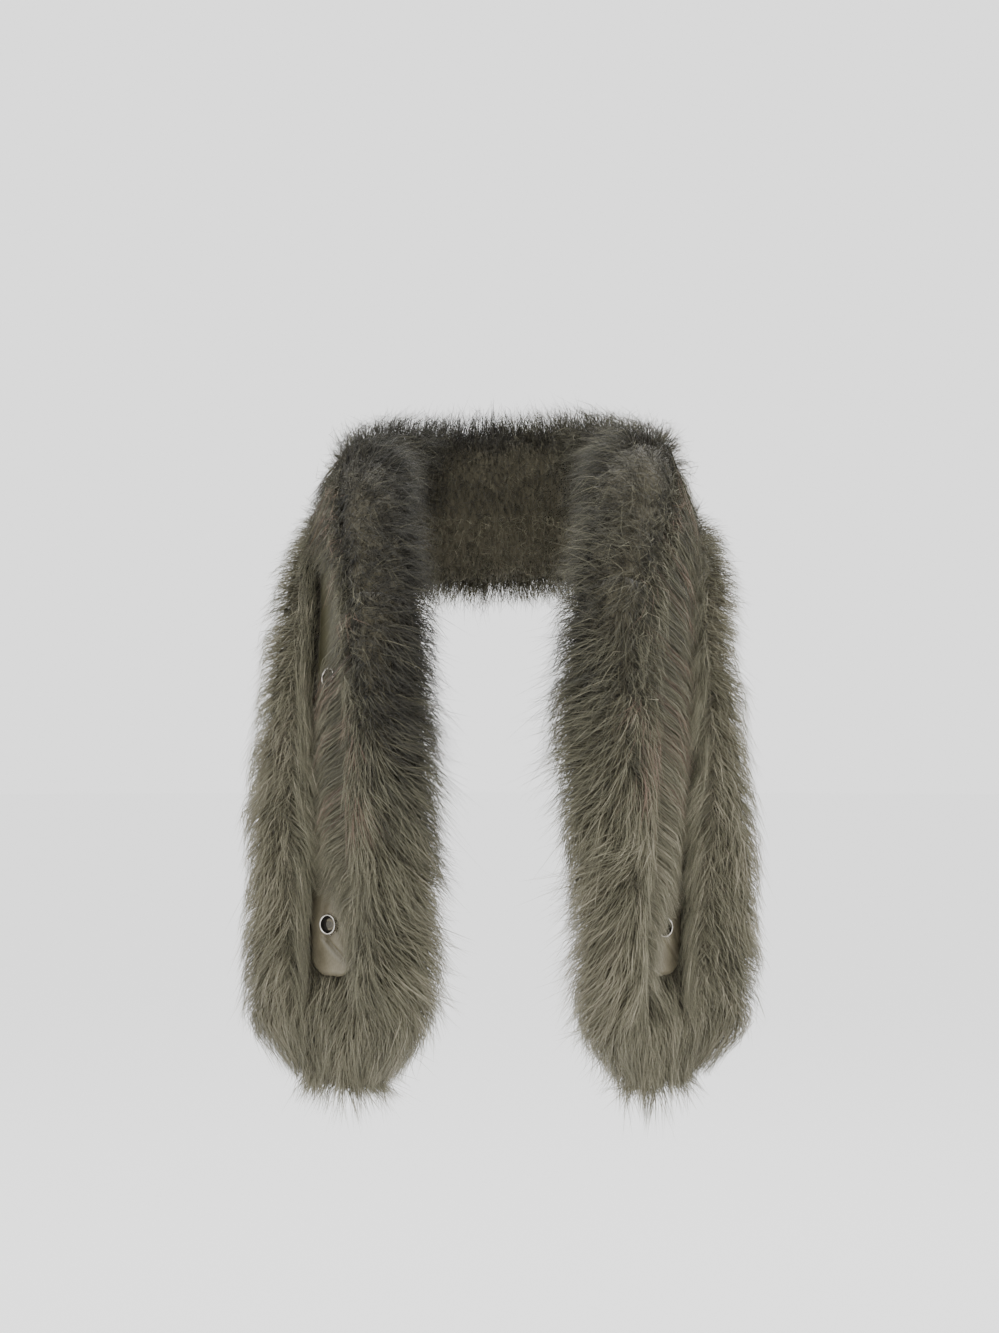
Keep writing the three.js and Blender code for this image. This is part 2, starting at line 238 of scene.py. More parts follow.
class Form:
    """The fur's outer form as a fine grid: for each side of the groove, a row for each distance along the
    strip and a column for each share of the way from the groove's middle round to the inner face's."""

    COLUMNS = 65
    ROW_STEP = 2.0
    PAST = 46.0  # the rows run on past the ends, for hair that hangs over them
    CLOSING = 0.12  # how much narrower the last of those rows is
    CORE_INSET, CORE_DROP = 27.0, 2.0  # where the core lies: in from the lobe's edge, under the centreline
    BACK_RISE = 1.02  # the inner face's middle against the columns beside it
    TRIM_RISE, TRIM_FALL = (0.12, 0.3), (0.6, 0.85)
    MOST_SUNK = 0.42  # the pelt lies no deeper than this share of the way to the core

    def __init__(self):
        given = np.concatenate([stations(start, end, STEP) for start, end in STRETCHES.values()])
        across, out, thin, filled, narrow = local_sections(given)
        self.s = stations(-self.PAST, LENGTH + self.PAST, self.ROW_STEP)
        inside = np.clip(self.s, 0, LENGTH)
        across, out = (
            np.stack([np.interp(inside, given, column) for column in grid.T], 1) for grid in (across, out)
        )
        thin, self.filled, narrow = (np.interp(inside, given, a) for a in (thin, filled, narrow))
        place, along, self.across, self.out, sizes = frames_at(inside)
        beyond = self.s - inside
        self.place = place + along * beyond[:, None]
        closing = 1 - self.CLOSING * np.abs(beyond) / self.PAST
        across, out = across * closing[:, None], out * closing[:, None]
        # From the groove's middle, column 1, to the inner face's middle, which the outline only has on either
        # side
        back = 3 + CREST_STEPS + BACK_STEPS
        lower = [*range(1, back + 1)]
        upper = [1, 0, *range(across.shape[1] - 1, back, -1)]
        share = np.linspace(0, 1, self.COLUMNS)
        girths, grids = [], []
        for order, width, trims in ((lower, sizes[:, 1], TRIMS[0]), (upper, sizes[:, 0], TRIMS[1])):
            a, o = across[:, order], out[:, order]
            a = np.hstack([a, np.zeros((len(a), 1))])
            o = np.hstack([o, o[:, -1:] * self.BACK_RISE])
            length = np.hstack([np.zeros((len(a), 1)), np.cumsum(np.hypot(np.diff(a), np.diff(o)), 1)])
            girths.append(length[:, -1])
            a, o = (
                np.stack([np.interp(share * l[-1], l, row) for l, row in zip(length, grid)], 0)
                for grid in (a, o)
            )
            wide = np.maximum(width * narrow * closing - self.CORE_INSET, 2.0)[:, None]
            core_a = np.clip(a, -wide, wide)
            core_o = -self.CORE_DROP * thin[:, None]
            reach = np.hypot(a - core_a, o - core_o)
            ra, ro = (a - core_a) / reach, (o - core_o) / reach
            trim = sum(change * np.exp(-(((inside - at) / spread) ** 2)) for at, spread, change in trims)
            rise, fall = (smoothstep(share, *limits) for limits in (self.TRIM_RISE, self.TRIM_FALL))
            trim = trim[:, None] * rise * (1 - fall)
            grids.append((a + ra * trim, o + ro * trim, ra, ro, reach + trim))
        self.a, self.o, self.ra, self.ro, self.reach = (np.stack(g, 0) for g in zip(*grids))
        self.girth = np.stack(girths, 0)

    def look(self, grid, side, s, q):
        """Bilinear values of a grid at distances s and shares q on sides 0, lower, or 1, upper."""
        i, j, u, v = self._cell(s, q)
        rows = grid[side, i, j] * (1 - v) + grid[side, i, j + 1] * v
        more = grid[side, i + 1, j] * (1 - v) + grid[side, i + 1, j + 1] * v
        return rows * (1 - u) + more * u

    def _row_place(self, s):
        """The place of each distance among the rows, which never reaches the last of them."""
        return np.clip((s - self.s[0]) / (self.s[1] - self.s[0]), 0, len(self.s) - 1.001)

    def _cell(self, s, q):
        x, y = self._row_place(s), np.clip(q, 0, 1) * (self.COLUMNS - 1.001)
        i, j = x.astype(int), y.astype(int)
        return i, j, x - i, y - j

    def row(self, values, s):
        """A row's values at distances s."""
        x = self._row_place(s)
        i = x.astype(int)
        w = (x - i)[:, None] if values.ndim > 1 else x - i
        return values[i] * (1 - w) + values[i + 1] * w

    def girth_at(self, side, s):
        """How long the way round is, from the groove's middle to the inner face's."""
        return np.where(side == 0, self.row(self.girth[0], s), self.row(self.girth[1], s))

    def world(self, s, a, o):
        """The place of points given by distance, across and out."""
        place, across, out = (self.row(v, s) for v in (self.place, self.across, self.out))
        return place + across * a[:, None] + out * o[:, None]

    def point(self, side, s, q, lift=0.0):
        """A point on the form, moved out from the fur's core by lift."""
        a, o = (self.look(g, side, s, q) for g in (self.a, self.o))
        ra, ro = (self.look(g, side, s, q) for g in (self.ra, self.ro))
        return self.world(s, a + ra * lift, o + ro * lift)

    def sunk(self, side, s, q, depth):
        """How far the pelt lies under the hair's outline: less where the fur is thin, none at the tape."""
        edge = FLOOR_HALF / self.girth_at(side, s)
        cover = np.maximum(smoothstep(q, edge, edge + 0.1), self.row(self.filled, s))
        return np.minimum(depth, self.look(self.reach, side, s, q) * self.MOST_SUNK) * cover


FORM = Form()


# Colours and materials


def linear(colour):
    """An sRGB hex colour as linear RGBA."""
    channels = [int(colour[k : k + 2], 16) / 255 for k in (1, 3, 5)]
    return (*(c / 12.92 if c <= 0.04045 else ((c + 0.055) / 1.055) ** 2.4 for c in channels), 1.0)


WHITE = linear("#ffffff")


def node(tree, kind, links=None, **settings):
    """Adds a node with its settings, and gives each input that is named the value or the link beside it."""
    made = tree.nodes.new(kind)
    for name, value in settings.items():
        setattr(made, name, value)
    for socket, value in (links or {}).items():
        if isinstance(value, bpy.types.NodeSocket):
            tree.links.new(value, made.inputs[socket])
        else:
            made.inputs[socket].default_value = value
    return made


def material(name):
    """A new material and its empty node tree."""
    made = bpy.data.materials.new(name)
    made.use_nodes = True
    made.node_tree.nodes.clear()
    return made, made.node_tree


def surface(tree, inputs):
    """The shader with its inputs, joined to the material's output."""
    shader = node(tree, "ShaderNodeBsdfPrincipled", inputs)
    node(tree, "ShaderNodeOutputMaterial", {"Surface": shader.outputs[0]})


def ramp(tree, factor, stops):
    """The colour at a factor between stops of position and linear colour."""
    made = node(tree, "ShaderNodeValToRGB", {0: factor})
    elements = made.color_ramp.elements
    while len(elements) < len(stops):
        elements.new(0.5)
    for element, (position, colour) in zip(elements, stops):
        element.position = position
        element.color = colour
    return made.outputs["Color"]


HAIR_MAP = "OFBake"
DYED = 0.88  # shades up to here are dyed, and past it the hair's own brown shows
MID_SHADE, BROWN_FROM = 0.52 * DYED, DYED + 0.05


def shade_stops(settings, end):
    """The stops of the hair's colours at its root or its tip, by shade."""
    tones = ("dark", "mid", "light", "brown")
    dark, mid, light, brown = (getattr(settings, f"{end}_{tone}") for tone in tones)
    return [(0.0, dark), (MID_SHADE, mid), (DYED, light), (BROWN_FROM, brown), (1.0, brown)]


def hair_material(name, settings):
    """Dyed fox hair, combed and blown dry: its own map gives each hair's shade across and the way from
    root to tip up. Each hair is darker at its root, where the down shades it, and soft in its gloss."""
    made, tree = material(name)
    along = node(tree, "ShaderNodeUVMap", uv_map=HAIR_MAP)
    parts = node(tree, "ShaderNodeSeparateXYZ", {0: along.outputs[0]})
    shade, way = parts.outputs["X"], parts.outputs["Y"]
    root, tip = (ramp(tree, shade, shade_stops(settings, end)) for end in ("root", "tip"))
    rise = node(tree, "ShaderNodeMapRange", {0: way, 1: 0.05, 2: 0.85, 3: 0.0, 4: 1.0})
    colour = node(tree, "ShaderNodeMix", {0: rise.outputs[0], 6: root, 7: tip}, data_type="RGBA")
    surface(
        tree,
        {
            "Base Color": colour.outputs[2],
            "Roughness": 0.55,
            "IOR": 1.55,
            "Specular IOR Level": 0.45,
            "Sheen Weight": settings.sheen,
            "Sheen Roughness": 0.45,
            "Sheen Tint": linear("#cfc6b2"),
        },
    )
    return made


def pelt_material(settings):
    """Dense dyed down close to the leather, with painted shade between the hairs and streaks along the lie of
    the fur.
    """
    made, tree = material("fox_down_base")
    place = node(tree, "ShaderNodeTexCoord").outputs["Object"]
    # Streaks of about 2 mm, drawn out three times as long downwards
    lie = node(tree, "ShaderNodeMapping", {"Vector": place, "Scale": (500.0, 500.0, 160.0)})
    streaks = node(tree, "ShaderNodeTexNoise", {"Vector": lie.outputs[0], "Scale": 1.0, "Detail": 3.0})
    # Patches of about 36 mm, as wide as a few locks
    patches = node(tree, "ShaderNodeTexNoise", {"Vector": place, "Scale": 28.0, "Detail": 2.0})
    tone = node(tree, "ShaderNodeMath", {0: streaks.outputs["Fac"], 1: 0.6}, operation="MULTIPLY")
    parts = {0: patches.outputs["Fac"], 1: 0.4, 2: tone.outputs[0]}
    mixed = node(tree, "ShaderNodeMath", parts, operation="MULTIPLY_ADD")
    # Painted shade: the darkest streaks stand for the shade between the hairs
    colour = ramp(tree, mixed.outputs[0], [(0.3, settings.dark), (0.5, settings.mid), (0.7, settings.light)])
    height = streaks.outputs["Fac"]
    bump = node(tree, "ShaderNodeBump", {"Height": height, "Strength": 0.8, "Distance": 2 * MM})
    surface(
        tree,
        {
            "Base Color": colour,
            "Roughness": 0.85,
            "Specular IOR Level": 0.2,
            "Sheen Weight": 0.25,
            "Sheen Roughness": 0.5,
            "Normal": bump.outputs[0],
        },
    )
    return made


# Mesh helpers

WELD = 1e-7


def add_object(name, data):
    """Adds an object to the scene, at the origin."""
    made = bpy.data.objects.new(name, data)
    bpy.context.scene.collection.objects.link(made)
    return made


def add_piece(name, mesh, materials, node_name):
    """Adds a piece that stands for a solid, with its place in its mesh."""
    made = add_object(name, mesh)
    for finish in materials:
        mesh.materials.append(finish)
    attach(made, "root")
    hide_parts(node_name)
    return made


def add_wall(piece, thickness):
    """Gives a sheet its thickness, inwards from its face."""
    wall = piece.modifiers.new("wall", "SOLIDIFY")
    wall.thickness = thickness
    wall.offset = -1


def grid_mesh(points, closed, uv=None):
    """A sheet of rows by columns of points, made from a grid and welded into a tube where it is closed. The
    UV map is given as its name and a place for each point."""
    rows, columns = points.shape[:2]
    bm = bmesh.new()
    bmesh.ops.create_grid(bm, x_segments=columns - 1, y_segments=rows - 1, size=0.5)
    flat = points.reshape(-1, 3) * MM
    bm.verts.ensure_lookup_table()
    order = sorted(range(len(bm.verts)), key=lambda k: (round(bm.verts[k].co.y, 6), bm.verts[k].co.x))
    for vertex, place in zip((bm.verts[k] for k in order), flat):
        vertex.co = place
    if uv is not None:
        layer = bm.loops.layers.uv.new(uv[0])
        number = {bm.verts[k]: n for n, k in enumerate(order)}
        values = uv[1].reshape(-1, 2)
        for face in bm.faces:
            for loop in face.loops:
                loop[layer].uv = values[number[loop.vert]]
    if closed:
        bmesh.ops.remove_doubles(bm, verts=bm.verts, dist=WELD)
    return bm


def finish_mesh(bm, name, smooth=True):
    """The mesh of a bmesh, which it frees."""
    mesh = bpy.data.meshes.new(name)
    bm.to_mesh(mesh)
    bm.free()
    for face in mesh.polygons:
        face.use_smooth = smooth
    return mesh


# Pelt

PELT_STEP = 4.6
PELT_SIDE = 20  # steps round each side
RIM_MARGIN = 1e-6


def pelt_points(start, end, depth):
    """Rings of points round the strip, under the hair's outline."""
    distance = stations(start, end, PELT_STEP)
    share = np.linspace(0, 1, PELT_SIDE + 1)
    side = np.concatenate([np.zeros(PELT_SIDE + 1, int), np.ones(PELT_SIDE, int)])
    q = np.concatenate([share, share[::-1][1:]])
    s = np.repeat(distance, len(q))
    side, q = np.tile(side, len(distance)), np.tile(q, len(distance))
    points = FORM.point(side, s, q, -FORM.sunk(side, s, q, depth))
    return points.reshape(len(distance), -1, 3)


def close_end(bm, ring):
    """Closes the tube's end at a ring of points."""
    low, high = (ring * MM).min(0) - RIM_MARGIN, (ring * MM).max(0) + RIM_MARGIN

    def on_ring(vertex):
        return (low <= np.array(vertex.co)).all() and (np.array(vertex.co) <= high).all()

    rim = [edge for edge in bm.edges if edge.is_boundary and all(on_ring(vertex) for vertex in edge.verts)]
    bmesh.ops.poke(bm, faces=bmesh.ops.holes_fill(bm, edges=rim, sides=0)["faces"])


def make_pelt(stretch, settings, finish):
    """One stretch of the pelt: a tube under the hair, closed where the strip ends."""
    points = pelt_points(*STRETCHES[stretch], settings.depth / MM)
    name = f"pelt_{stretch}"
    bm = grid_mesh(points, closed=True)
    if stretch == "left":
        close_end(bm, points[0])
    if stretch == "right":
        close_end(bm, points[-1])
    bmesh.ops.recalc_face_normals(bm, faces=bm.faces)
    piece = add_piece(name, finish_mesh(bm, name), [finish], FRONTS.get(stretch, NECK))
    add_wall(piece, settings.wall)


# Hair


class Hairs:
    """Joined hairs of one piece: each is a closed tapering spike of three sides along a bent line."""

    CORNERS = np.radians([90, 210, 330])
    SHADE_SPREAD, WAY_SPREAD = 0.006, 0.004  # how wide a hair is on its colour map

    def __init__(self, rings):
        self.rings = rings
        self.parts = []

    def add(self, root, bend, tip, width, shade, sway, reach):
        self.parts.append((root, bend, tip, width, shade, sway, np.full(len(root), reach)))

    def mesh(self, name, rng):
        """All hairs as one mesh: a ring of three points at each share of the way, and a point at the tip."""
        root, bend, tip, width, shade, sway, reach = (np.concatenate(p) for p in zip(*self.parts))
        n, r = len(root), len(self.rings)
        chord = unit(tip - root)
        side = unit(np.cross(chord, unit(rng.normal(size=(n, 3)))))
        points = np.empty((n, 3 * r + 1, 3))
        ways = np.empty((n, 3 * r + 1, 2))
        for k, t in enumerate(self.rings):
            centre = (1 - t) ** 2 * root + 2 * t * (1 - t) * bend + t * t * tip
            centre = centre + side * (sway * math.sin(math.pi * t))[:, None]
            direction = unit((1 - t) * (bend - root) + t * (tip - bend))
            e1 = unit(side - (side * direction).sum(1, keepdims=True) * direction)
            e2 = np.cross(direction, e1)
            # It swells a little over its root and narrows to its tip
            taper = (1 - t) ** 0.7 * (0.75 + 0.25 * min(1.0, t * 4))
            for c, corner in enumerate(self.CORNERS):
                ring = math.cos(corner) * e1 + math.sin(corner) * e2
                points[:, 3 * k + c] = centre + ring * (width * taper / 2)[:, None]
                ways[:, 3 * k + c, 0] = shade + (c - 1) * self.SHADE_SPREAD
                ways[:, 3 * k + c, 1] = (t + self.WAY_SPREAD * (c == 1)) * reach
        points[:, -1] = tip
        ways[:, -1, 0], ways[:, -1, 1] = shade, reach
        faces = [(0, 2, 1)]
        for k in range(r - 1):
            for c in range(3):
                d = (c + 1) % 3
                faces += [(3 * k + c, 3 * k + d, 3 * k + 3 + d), (3 * k + c, 3 * k + 3 + d, 3 * k + 3 + c)]
        faces += [(3 * r - 3 + c, 3 * r - 3 + (c + 1) % 3, 3 * r) for c in range(3)]
        index = (np.array(faces)[None] + (np.arange(n) * (3 * r + 1))[:, None, None]).reshape(-1)
        return joined(name, points.reshape(-1, 3) * MM, index, ways.reshape(-1, 2))


def joined(name, points, index, ways):
    """A mesh of triangles from its points, its corners' numbers and its points' places on the hair's map."""
    mesh = bpy.data.meshes.new(name)
    mesh.vertices.add(len(points))
    mesh.vertices.foreach_set("co", points.astype(np.float32).ravel())
    mesh.loops.add(len(index))
    mesh.loops.foreach_set("vertex_index", index.astype(np.int32))
    count = len(index) // 3
    mesh.polygons.add(count)
    mesh.polygons.foreach_set("loop_start", np.arange(count, dtype=np.int32) * 3)
    mesh.polygons.foreach_set("use_smooth", np.ones(count, bool))
    mesh.update(calc_edges=True)
    layer = mesh.uv_layers.new(name=HAIR_MAP)
    layer.data.foreach_set("uv", np.clip(ways[index], 0.002, 0.998).astype(np.float32).ravel())
    mesh.validate()
    return mesh


LOCK_SIZE = (18.0, 10.0)  # a lock's pitch along the strip and round it, in millimetres
WISP_SIZE = (0.42 * LOCK_SIZE[0], 0.4 * LOCK_SIZE[1])  # the same of the wisps that a lock is made of
LOCK_SEED, WISP_SEED = 1.7, 5.0
LOCK_MARGIN = 0.15  # how far a lock's centre keeps from the edge of its cell


def lock_centres(s, g, size, seed):
    """The nearest lock's centre for each hair, and four numbers that all hairs of that lock share. Places
    round the strip are below 0 on the upper side, so that locks also lie across the middle of a fan."""
    pitch_s, pitch_g = size
    cell_s, cell_g = np.floor(s / pitch_s), np.floor(g / pitch_g)
    nearest = np.full(len(s), np.inf)
    centre_s, centre_g, key = np.zeros((3, len(s)))
    for i in (-1, 0, 1):
        for j in (-1, 0, 1):
            a, b = cell_s + i, cell_g + j
            token = a * 7.13 + b * 17.7 + seed
            cs = (a + LOCK_MARGIN + (1 - 2 * LOCK_MARGIN) * chance(token, 1.0)) * pitch_s
            cg = (b + LOCK_MARGIN + (1 - 2 * LOCK_MARGIN) * chance(token, 2.0)) * pitch_g
            far = ((s - cs) / pitch_s) ** 2 + ((g - cg) / pitch_g) ** 2
            nearer = far < nearest
            nearest = np.where(nearer, far, nearest)
            centre_s = np.where(nearer, cs, centre_s)
            centre_g = np.where(nearer, cg, centre_g)
            key = np.where(nearer, token, key)
    return centre_s, centre_g, [chance(key, 3.0 + k) for k in range(4)]


def band(x, rise, fall):
    """1 between two ramps, and 0 outside them."""
    return smoothstep(x, *rise) * (1 - smoothstep(x, *fall))


def from_nape(s):
    """Distances from the middle of the strip, which lies at the nape."""
    return np.abs(s - HALF)


def lowness(s):
    """0 round the neck and 1 on the hanging ends."""
    return smoothstep(from_nape(s), 0.28 * HALF, 0.72 * HALF)


def endness(s):
    """1 at the strip's tips, from 0 at 30 mm above the ends of the tape."""
    return smoothstep(from_nape(s), HALF - FAN - 30, HALF - 12)


# How far the hair of the lobe by the neck lies over the tape, in millimetres from that edge of it: distance
# along the tape's face from the viewer's left, and reach
COVER = np.array(
    [
        (0, 2), (18, 5), (36, 10), (44, 35), (146, 35), (158, 9), (172, 6), (200, 6), (226, 26), (300, 24),
        (340, 16), (520, 16), (560, 33), (640, 35), (800, 35), (816, 16), (853, 6),
    ],
    float,
)
SHOWN = (8, 22)  # the tape shows where the reach is under the first and is hidden where it is over the second


def tape_run():
    """Distances along the strip, a millimetre apart, and how long the groove's floor is up to each."""
    steps = stations(TAPE_FROM, TAPE_TO, 1)
    place, _, _, out, _ = frames_at(steps)
    face = place + out * FLOOR_RISE
    return steps, np.concatenate([[0], np.cumsum(np.linalg.norm(np.diff(face, axis=0), axis=1))])


RUN_STEPS, RUN_LENGTHS = tape_run()
TAPE_LENGTH = RUN_LENGTHS[-1]


def cover(s):
    """How far the hair of the lobe by the neck lies over the tape there."""
    return np.interp(np.interp(s, RUN_STEPS, RUN_LENGTHS), COVER[:, 0], COVER[:, 1])


def bare(s):
    """1 past the tape's ends, where hair also grows between the lobes."""
    return 1 - band(s, (TAPE_FROM + 2, TAPE_FROM + 8), (TAPE_TO - 8, TAPE_TO - 2))


LOBE_SHARE = 0.8  # how dense the hair is on the lobes, against the fans' middle
BACK_SHARE = 0.5  # the same of the inner face, which is pressed flat, against the lobes


def scatter(rng, count, start, end):
    """Roots over a stretch: side, distance and share round, thinner on the pressed inner face and none
    under the tape."""
    found = []
    need = count
    while need > 0:
        side = rng.integers(0, 2, need * 2)
        s = rng.uniform(start, end, need * 2)
        q = rng.uniform(0, 1, need * 2)
        edge = FLOOR_HALF / FORM.girth_at(side, s)
        dense = np.where(q < edge, bare(s), LOBE_SHARE) * (1 - (1 - BACK_SHARE) * smoothstep(q, 0.6, 0.8))
        keep = rng.uniform(0, 1, need * 2) < dense
        found.append(np.stack([side[keep], s[keep], q[keep]], 0)[:, :need])
        need = count - sum(f.shape[1] for f in found)
    side, s, q = np.concatenate(found, 1)[:, :count]
    return side.astype(int), s, q


def drift(s, g, side):
    """A smooth wandering of the hair's direction over the fur, from about -1 to 1: three crossing waves."""
    return (
        np.sin(s / 13.0 + side * 2.1 + 1.7 * np.sin(g / 19.0)) * 0.5
        + np.sin(g / 9.0 + side * 4.0 + 1.3 * np.sin(s / 23.0 + 1.0)) * 0.35
        + np.sin((s + g) / 6.1 + side) * 0.25
    )


# Undyed brown: the lots of locks that kept it, how far round and from the nape, how many of their hairs
# show it, and their shade
BROWN_LOT, BROWN_ROUND, BROWN_FAR, BROWN_SHARE, BROWN_SHADE = 0.74, 0.3, 320, 0.5, 0.97


def shades(side, s, q, rng, habit, *lots):
    """Each hair's shade: its place on the collar, its lock's, its own, and a few bright ones. Locks by the
    groove that kept their own brown take the shades past DYED."""
    shade = hair_shade(side, s, q, rng) + habit["shade"]
    for lot, weight in lots:
        shade = shade + (lot - 0.5) * weight
    light = rng.uniform(0, 1, len(s)) < habit["light_share"]
    shade = np.where(light, shade + habit["light"] * rng.uniform(0.5, 1.2, len(s)), shade)
    brown = (lots[0][0] > BROWN_LOT) & (side == 1) & (q < BROWN_ROUND) & (from_nape(s) < BROWN_FAR)
    brown = brown & (rng.uniform(0, 1, len(s)) < BROWN_SHARE)
    return np.where(brown, BROWN_SHADE, np.clip(shade, 0.02, 0.98) * DYED)


def hair_shade(side, s, q, rng):
    """Dark and olive round the neck, lighter and warmer towards the ends, with painted shade round the neck
    where the head and neck would shade the fur. The lobe by the neck is darker, and darkest on its flank, as
    painted shadow of the neck over the fur's darker base; on the right leg that lobe is lighter, as painted
    light."""
    far = from_nape(s)
    # Painted shade: darker round the neck, and on the upper lobe near it, where the head and neck would shade
    # the fur
    neck_side = side * smoothstep(far, 60, 120)
    shade = 0.353 + 0.107 * smoothstep(far, 120, 280) - 0.03 * neck_side
    shade = shade - 0.04 * neck_side * (1 - smoothstep(far, 240, 320))
    # Painted light: the upper lobe of the right leg is lighter, as that side is lit more
    right_leg_light = 0.03 + 0.08 * smoothstep(far, 260, 340) - 0.08 * smoothstep(far, 380, 440)
    shade = shade + (s > HALF) * side * right_leg_light
    # Painted shadow of the neck on the upper lobe's flank and inner face, over the fur's darker base, less on
    # the right leg
    inner = side * (1 - smoothstep(far, 240, 380)) * np.where(s > HALF, 0.68, 1.0)
    outer = (1 - side) * band(far, (100, 200), (330, 430))
    return shade - 0.42 * inner * smoothstep(q, 0.2, 0.45) + 0.08 * outer + rng.normal(0, 0.085, len(s))


# How the hair lies, in shares of its length: how far it runs along the strip, more on the hanging ends and
# less on a lobe's flank, and how far it turns round the lobe, away from the groove
RUN, RUN_LOW, RUN_ENDS, RUN_FLANK = 0.36, 0.3, 0.12, 0.16
TURN, TURN_FLANK, TURN_ENDS, TURN_OUTER = 0.27, 0.33, 0.35, 0.82
INWARD, INWARD_OUTER, INWARD_SPREAD = 0.42, 0.08, 0.3  # how far it leans to the groove beside the tape
WANDER, LOCK_TURN = 0.4, 0.5  # in radians: the smooth wandering, and each lock's own turn
PARTING, PARTING_SPREAD = 40.0, 60.0  # at the nape it falls either way, in millimetres from the middle
FLANK = ((0.26, 0.46), (0.64, 0.84))  # a lobe's flank, in shares of the way round
MOST_FLUFF = 2.8  # the fluffiest hair against the mean one
TAIL_SPREAD = 34.0  # the tails grow shorter towards this distance from the fan's middle
MOST_TAIL, TAIL_AT = 1.15, 20.0
TAIL_BY = (0.1, 0.5, 0.72, 0.2)  # a tail's length: what all have, by its lock, its wisp and a stray hair
# A hair's length: its share round the neck, the least by its lock and what the lock adds, its own, what a
# stray one has more, and what those at the strip's tips have more
NECK_LENGTH, LOCK_LENGTH, OWN_LENGTH, STRAY_LENGTH, TIP_LENGTH = 0.74, (0.78, 0.4), (0.65, 1.2), 1.3, 0.35
# How strongly a tip is drawn to the middle of its lock and of its wisp, along the strip and round it, and
# how much more to its wisp at the ends
LOCK_DRAW, WISP_DRAW, WISP_DRAW_ENDS = (0.2, 0.24), (0.3, 0.34), 0.08


def heading(rng, side, s, q, g, edge, low, ends, flank, lock, habit):
    """How far each hair runs along and turns round the strip, as shares of its length."""
    outer = side == 0
    crest = smoothstep(q, edge * 0.3, edge + np.where(outer, 0.3, 0.1)) * (1 - 0.85 * smoothstep(q, 0.5, 0.8))
    run = RUN + RUN_LOW * low + RUN_ENDS * ends - RUN_FLANK * flank * (1 - ends)
    turn = (TURN + TURN_FLANK * flank) * crest * (1 - TURN_ENDS * ends)
    inward = (1 - smoothstep(q, edge, edge + INWARD_SPREAD)) * (1 - bare(s))
    turn = turn * np.where(outer, TURN_OUTER, 1) - inward * np.where(outer, INWARD_OUTER, INWARD)
    own = habit["own_turn"] * (1 + habit["curl"] * (1 - low))
    angle = WANDER * (1 - 0.5 * ends) * drift(s, g, side)
    angle = angle + (lock[1] - 0.5) * LOCK_TURN + rng.normal(0, 1, len(s)) * own
    return run * np.cos(angle) - turn * np.sin(angle), run * np.sin(angle) + turn * np.cos(angle), crest


